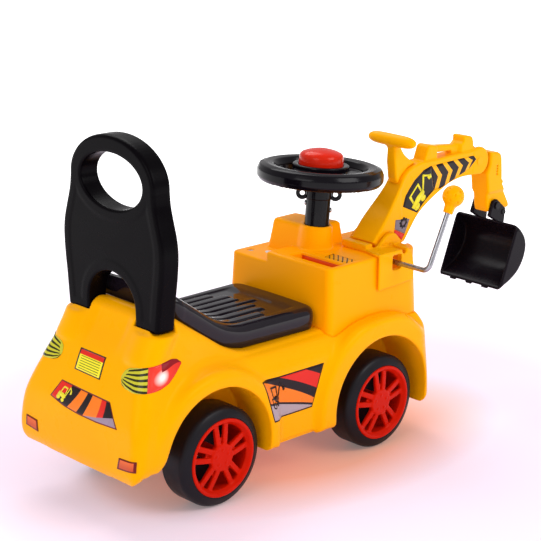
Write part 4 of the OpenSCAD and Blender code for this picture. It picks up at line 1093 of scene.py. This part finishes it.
for s, name in ((1, "left"), (-1, "right")):
    near = Patch(skin, round_corner(-s), [(183, 202), (186, 208), (194, 212.5), (206, 215), (223.3, 217.3)],
                 [(183, 198), (188, 191.5), (196, 188.4), (207.4, 187), (223.3, 187.8)], 26)
    near.cover("lamp_green_" + name, green.material, "body", "shell_yellow", 10, lift=0.8)
    far = Patch(skin, round_corner(-s), [(223.3, 217.3), (247, 220.4), (266, 221.6), (277, 220), (284.5, 215.5)],
                [(223.3, 187.8), (238, 188.8), (252, 193), (268, 202.5), (285.5, 213)], 26)
    far.cover("lamp_red_" + name, red.material, "body", "rim_red", 10, lift=0.8)

# stickers on the side panels between the arches
n, u, v = sticker("side_sticker")
bands = ramp(n, slant(n, u, v, 1.28, 0.44), [(0.0, PRINT_ORANGE), (0.555, INK), (0.68, PRINT_RED), (0.86, INK)])
wedge = n.math("SUBTRACT", v, n.math("MULTIPLY_ADD", u, -0.38, 0.43))
bands = n.mix(n.math("LESS_THAN", wedge, 0.05), bands, rgba(INK))
bands = n.mix(n.math("LESS_THAN", wedge, 0.0), bands, rgba((0.42, 0.33, 0.36)))
n.set(n.shader, "Base Color", framed(n, u, v, 0.016, 0.03, bands, INK))
for name, cast in (("left", from_left), ("right", from_right)):
    panel = Patch(skin, cast, [(64, 162.5), (100, 160.5), (188.5, 160)],
                  [(85, 101), (120, 100), (166.4, 100)], 36)
    panel.cover("side_sticker_" + name, n.material, "body", "pan_black", 12)
    pictogram("side_digger_" + name, panel, 0.05, 0.37, 0.30, 0.90, "body", mat_ink)

# stickers on the boom's two faces
n, u, v = sticker("boom_stripes")
fold = n.math("MULTIPLY_ADD", n.math("ABSOLUTE", n.math("MULTIPLY_ADD", v, 2.0, -1.0)), 0.11, u)
bars = n.math("MAXIMUM", n.math("LESS_THAN", fold, 0.12),
              n.math("GREATER_THAN", n.math("FRACT", n.math("MULTIPLY_ADD", fold, 4.26, -0.51)), 0.38))
n.set(n.shader, "Base Color", n.mix(bars, (1.0, 0.43, 0.0, 1), rgba(INK)))
mat_print_grey = plain_sticker("print_grey", (0.20, 0.16, 0.19))
mat_print_red = plain_sticker("print_red", PRINT_RED)
boom_tree = tree_of(boom_skin)
for name, cast in (("left", from_left), ("right", from_right)):
    panel = Patch(boom_tree, cast, [(400, 338.5), (407, 353), (428, 374), (447, 386), (463, 390)],
                  [(433, 324), (442, 331.5), (453, 339.5), (463, 346.5), (471, 351.5)], 24)
    panel.cover("boom_panel_" + name, mat_ink, "boom", "pan_black", 8)
    pictogram("boom_digger_" + name, panel, 0.02, 0.96, 0.04, 0.94, "boom", mat_print_yellow)
    bars_at = Patch(boom_tree, cast, [(463.5, 390), (497, 390.7), (530, 391.4), (561, 391.8), (567, 386.6)],
                    [(471.5, 351.8), (486, 352.5), (520, 363), (552, 372.5), (567, 384.8)], 40)
    bars_at.cover("boom_stripes_" + name, n.material, "boom", "shell_yellow", 8)
    band = Patch(boom_tree, cast, [(380.8, 322.5), (414.2, 318.3)], [(378.0, 309.1), (401.2, 298.2)], 10)
    band.cover("boom_band_" + name, mat_print_grey, "boom", "pan_black", 8)
    foot = Patch(boom_tree, cast, [(378.0, 308.7), (401.0, 297.8)], [(376.5, 305.0), (393.7, 290.4)], 8)
    foot.cover("boom_foot_" + name, mat_print_red, "boom", "rim_red", 4)
    for part, look, radii in (("gear", mat_ink, (0.30, 0.24)), ("disc", mat_print_grey, (0.13, 0.13))):
        ring = [radii[0] if k % 4 < 2 else radii[1] for k in range(32)]
        band.shape("boom_%s_%s" % (part, name),
                   [(0.6 + q * math.cos(k * math.pi / 16), 0.72 + 1.5 * q * math.sin(k * math.pi / 16))
                    for k, q in enumerate(ring)], look, "boom", "pan_black", 0.9 if part == "disc" else 0.6)

# console: painted shade, a deeper red-orange, on the floor and front wall of the tray, an oval sticker and a
# lined one
console_tree = tree_of(console_skin)
mat_tray_shade = plain_sticker("tray_painted_shade", (0.85, 0.08, 0.0), 0.4)
tray = Patch(console_tree, from_above, [(248.5, -12), (248.5, -89)], [(229.5, -12), (229.5, -89)], 8)
tray.cover("tray_floor_shade", mat_tray_shade, "body", "shell_yellow", 3)
wall = Patch(console_tree, lambda p, q: ((239, p, q), (1, 0, 0)), [(-11, 281.5), (-90, 281.5)],
             [(-11, 264.5), (-90, 264.5)], 8)
wall.cover("tray_wall_shade", mat_tray_shade, "body", "shell_yellow", 3)
oval = Patch(console_tree, from_above, [(258, 64), (258, 34)], [(242, 64), (242, 34)], 8)
oval.shape("oval_sticker", arc((0.5, 0.5), 0.5, 0, 345, 23), plain_sticker("oval_white", (0.9, 0.88, 0.88)),
           "body", "bright_steel", 0.4)
lined, u, v = sticker("deck_lines")
rule = lined.math("LESS_THAN", slant(lined, u, v, 0.4, 5.0), 0.30)
lined.set(lined.shader, "Base Color", lined.mix(rule, (1.0, 0.40, 0.0, 1), (0.10, 0.04, 0.01, 1)))
deck_patch = Patch(console_tree, from_above, [(277, -46), (277, -92)], [(256, -50), (256, -92)], 8)
deck_patch.cover("deck_sticker", lined.material, "body", "shell_yellow", 4)

# ------------------------------------------------------------------ CAD nodes that stay
CAD_LOOKS = {
    "floor_pan": mat_body, "knuckle_left": mat_pan, "knuckle_right": mat_pan,
    "steering_column": mat_wheel, "crank_rod": mat_chrome, "elbow_pin": mat_arm, "boom_pin": mat_arm,
    "bucket_pin": mat_pan,
}
for node_name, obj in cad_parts.items():
    if obj.hide_render:
        continue
    look = CAD_LOOKS.get(node_name, mat_steel)
    obj.data.materials.clear()
    obj.data.materials.append(look)
    obj.data.polygons.foreach_set("use_smooth", [True] * len(obj.data.polygons))
    obj.data.set_sharp_from_angle(angle=math.radians(32))

# ------------------------------------------------------------------ floor, light and camera
floor_mat = Nodes("floor_pale")
spot = floor_mat.add("ShaderNodeTexCoord").outputs["Object"]
far = floor_mat.span(floor_mat.length(spot), 0.5, 1.6, 0.0, 1.0)
pale = floor_mat.mix(far, (0.95, 0.80, 0.97, 1), (0.95, 0.95, 0.95, 1))
# painted bounce light and shadow: the body's orange painted onto the floor under the car, darker than the pale
# floor round it
under = floor_mat.length(floor_mat.add("ShaderNodeMapping", Vector=spot, Scale=(2.7, 4.6, 0.0)).outputs[0])
painted_bounce = floor_mat.span(under, 0.5, 1.0, 0.9, 0.0)
pale = floor_mat.mix(painted_bounce, pale, (0.90, 0.30, 0.10, 1))
floor_mat.set(floor_mat.shader, "Base Color", pale)
floor_mat.set(floor_mat.shader, "Emission Strength", floor_mat.span(far, 0.0, 1.0, 0.14, 1.0))
floor_mat.shader.inputs["Emission Color"].default_value = (1, 1, 1, 1)
floor_mat.set(floor_mat.shader, "Roughness", floor_mat.span(floor_mat.noise(3.0), 0.3, 0.7, 0.7, 0.8))
floor_mesh = bpy.data.meshes.new("floor")
floor_mesh.from_pydata([(-30, -30, 0), (30, -30, 0), (30, 30, 0), (-30, 30, 0)], [], [(0, 1, 2, 3)])
floor = bpy.data.objects.new("floor", floor_mesh)
floor.location.z = -0.0005
bpy.context.scene.collection.objects.link(floor)
floor_mesh.materials.append(floor_mat.material)

world = bpy.data.worlds.new("studio")
bpy.context.scene.world = world
world.use_nodes = True
world.node_tree.nodes["Background"].inputs["Color"].default_value = (1.0, 0.985, 1.0, 1)
world.node_tree.nodes["Background"].inputs["Strength"].default_value = 0.55


def softbox(name, location, target, size, power, colour=(1, 1, 1)):
    light = bpy.data.lights.new(name, "AREA")
    light.shape, light.size, light.size_y = "RECTANGLE", size[0], size[1]
    light.energy, light.color = power, colour
    obj = bpy.data.objects.new(name, light)
    obj.location = location
    obj.rotation_euler = (Vector(target) - Vector(location)).to_track_quat("-Z", "Y").to_euler()
    bpy.context.scene.collection.objects.link(obj)


AIM = (0.0, 0.0, 0.22)
softbox("key_right", (0.5, -1.9, 1.7), AIM, (1.4, 1.0), 22)
softbox("rear_fill", (-2.0, -0.5, 1.3), AIM, (1.2, 1.2), 12)
softbox("top_left", (0.2, 1.2, 2.0), AIM, (1.6, 1.2), 19)

AZIMUTH, ELEVATION, ROLL = math.radians(-44.01), math.radians(16.4), math.radians(0.868)
back_dir = Vector((math.sin(AZIMUTH) * math.cos(ELEVATION), -math.cos(AZIMUTH) * math.cos(ELEVATION),
                   math.sin(ELEVATION)))
level = Vector((0, 0, 1)).cross(back_dir).normalized()
upright = back_dir.cross(level)
right_dir = level * math.cos(ROLL) + upright * math.sin(ROLL)
up_dir = upright * math.cos(ROLL) - level * math.sin(ROLL)
camera = bpy.data.objects.new("camera", bpy.data.cameras.new("camera"))
camera.data.sensor_width, camera.data.lens = 36.0, 110.49
matrix = Matrix((right_dir, up_dir, back_dir)).transposed().to_4x4()
matrix.translation = Vector(place((-1379.5, -1632.5, 933.3)))
camera.matrix_world = matrix
bpy.context.scene.collection.objects.link(camera)
bpy.context.scene.camera = camera
bpy.context.scene.view_settings.view_transform = "Standard"
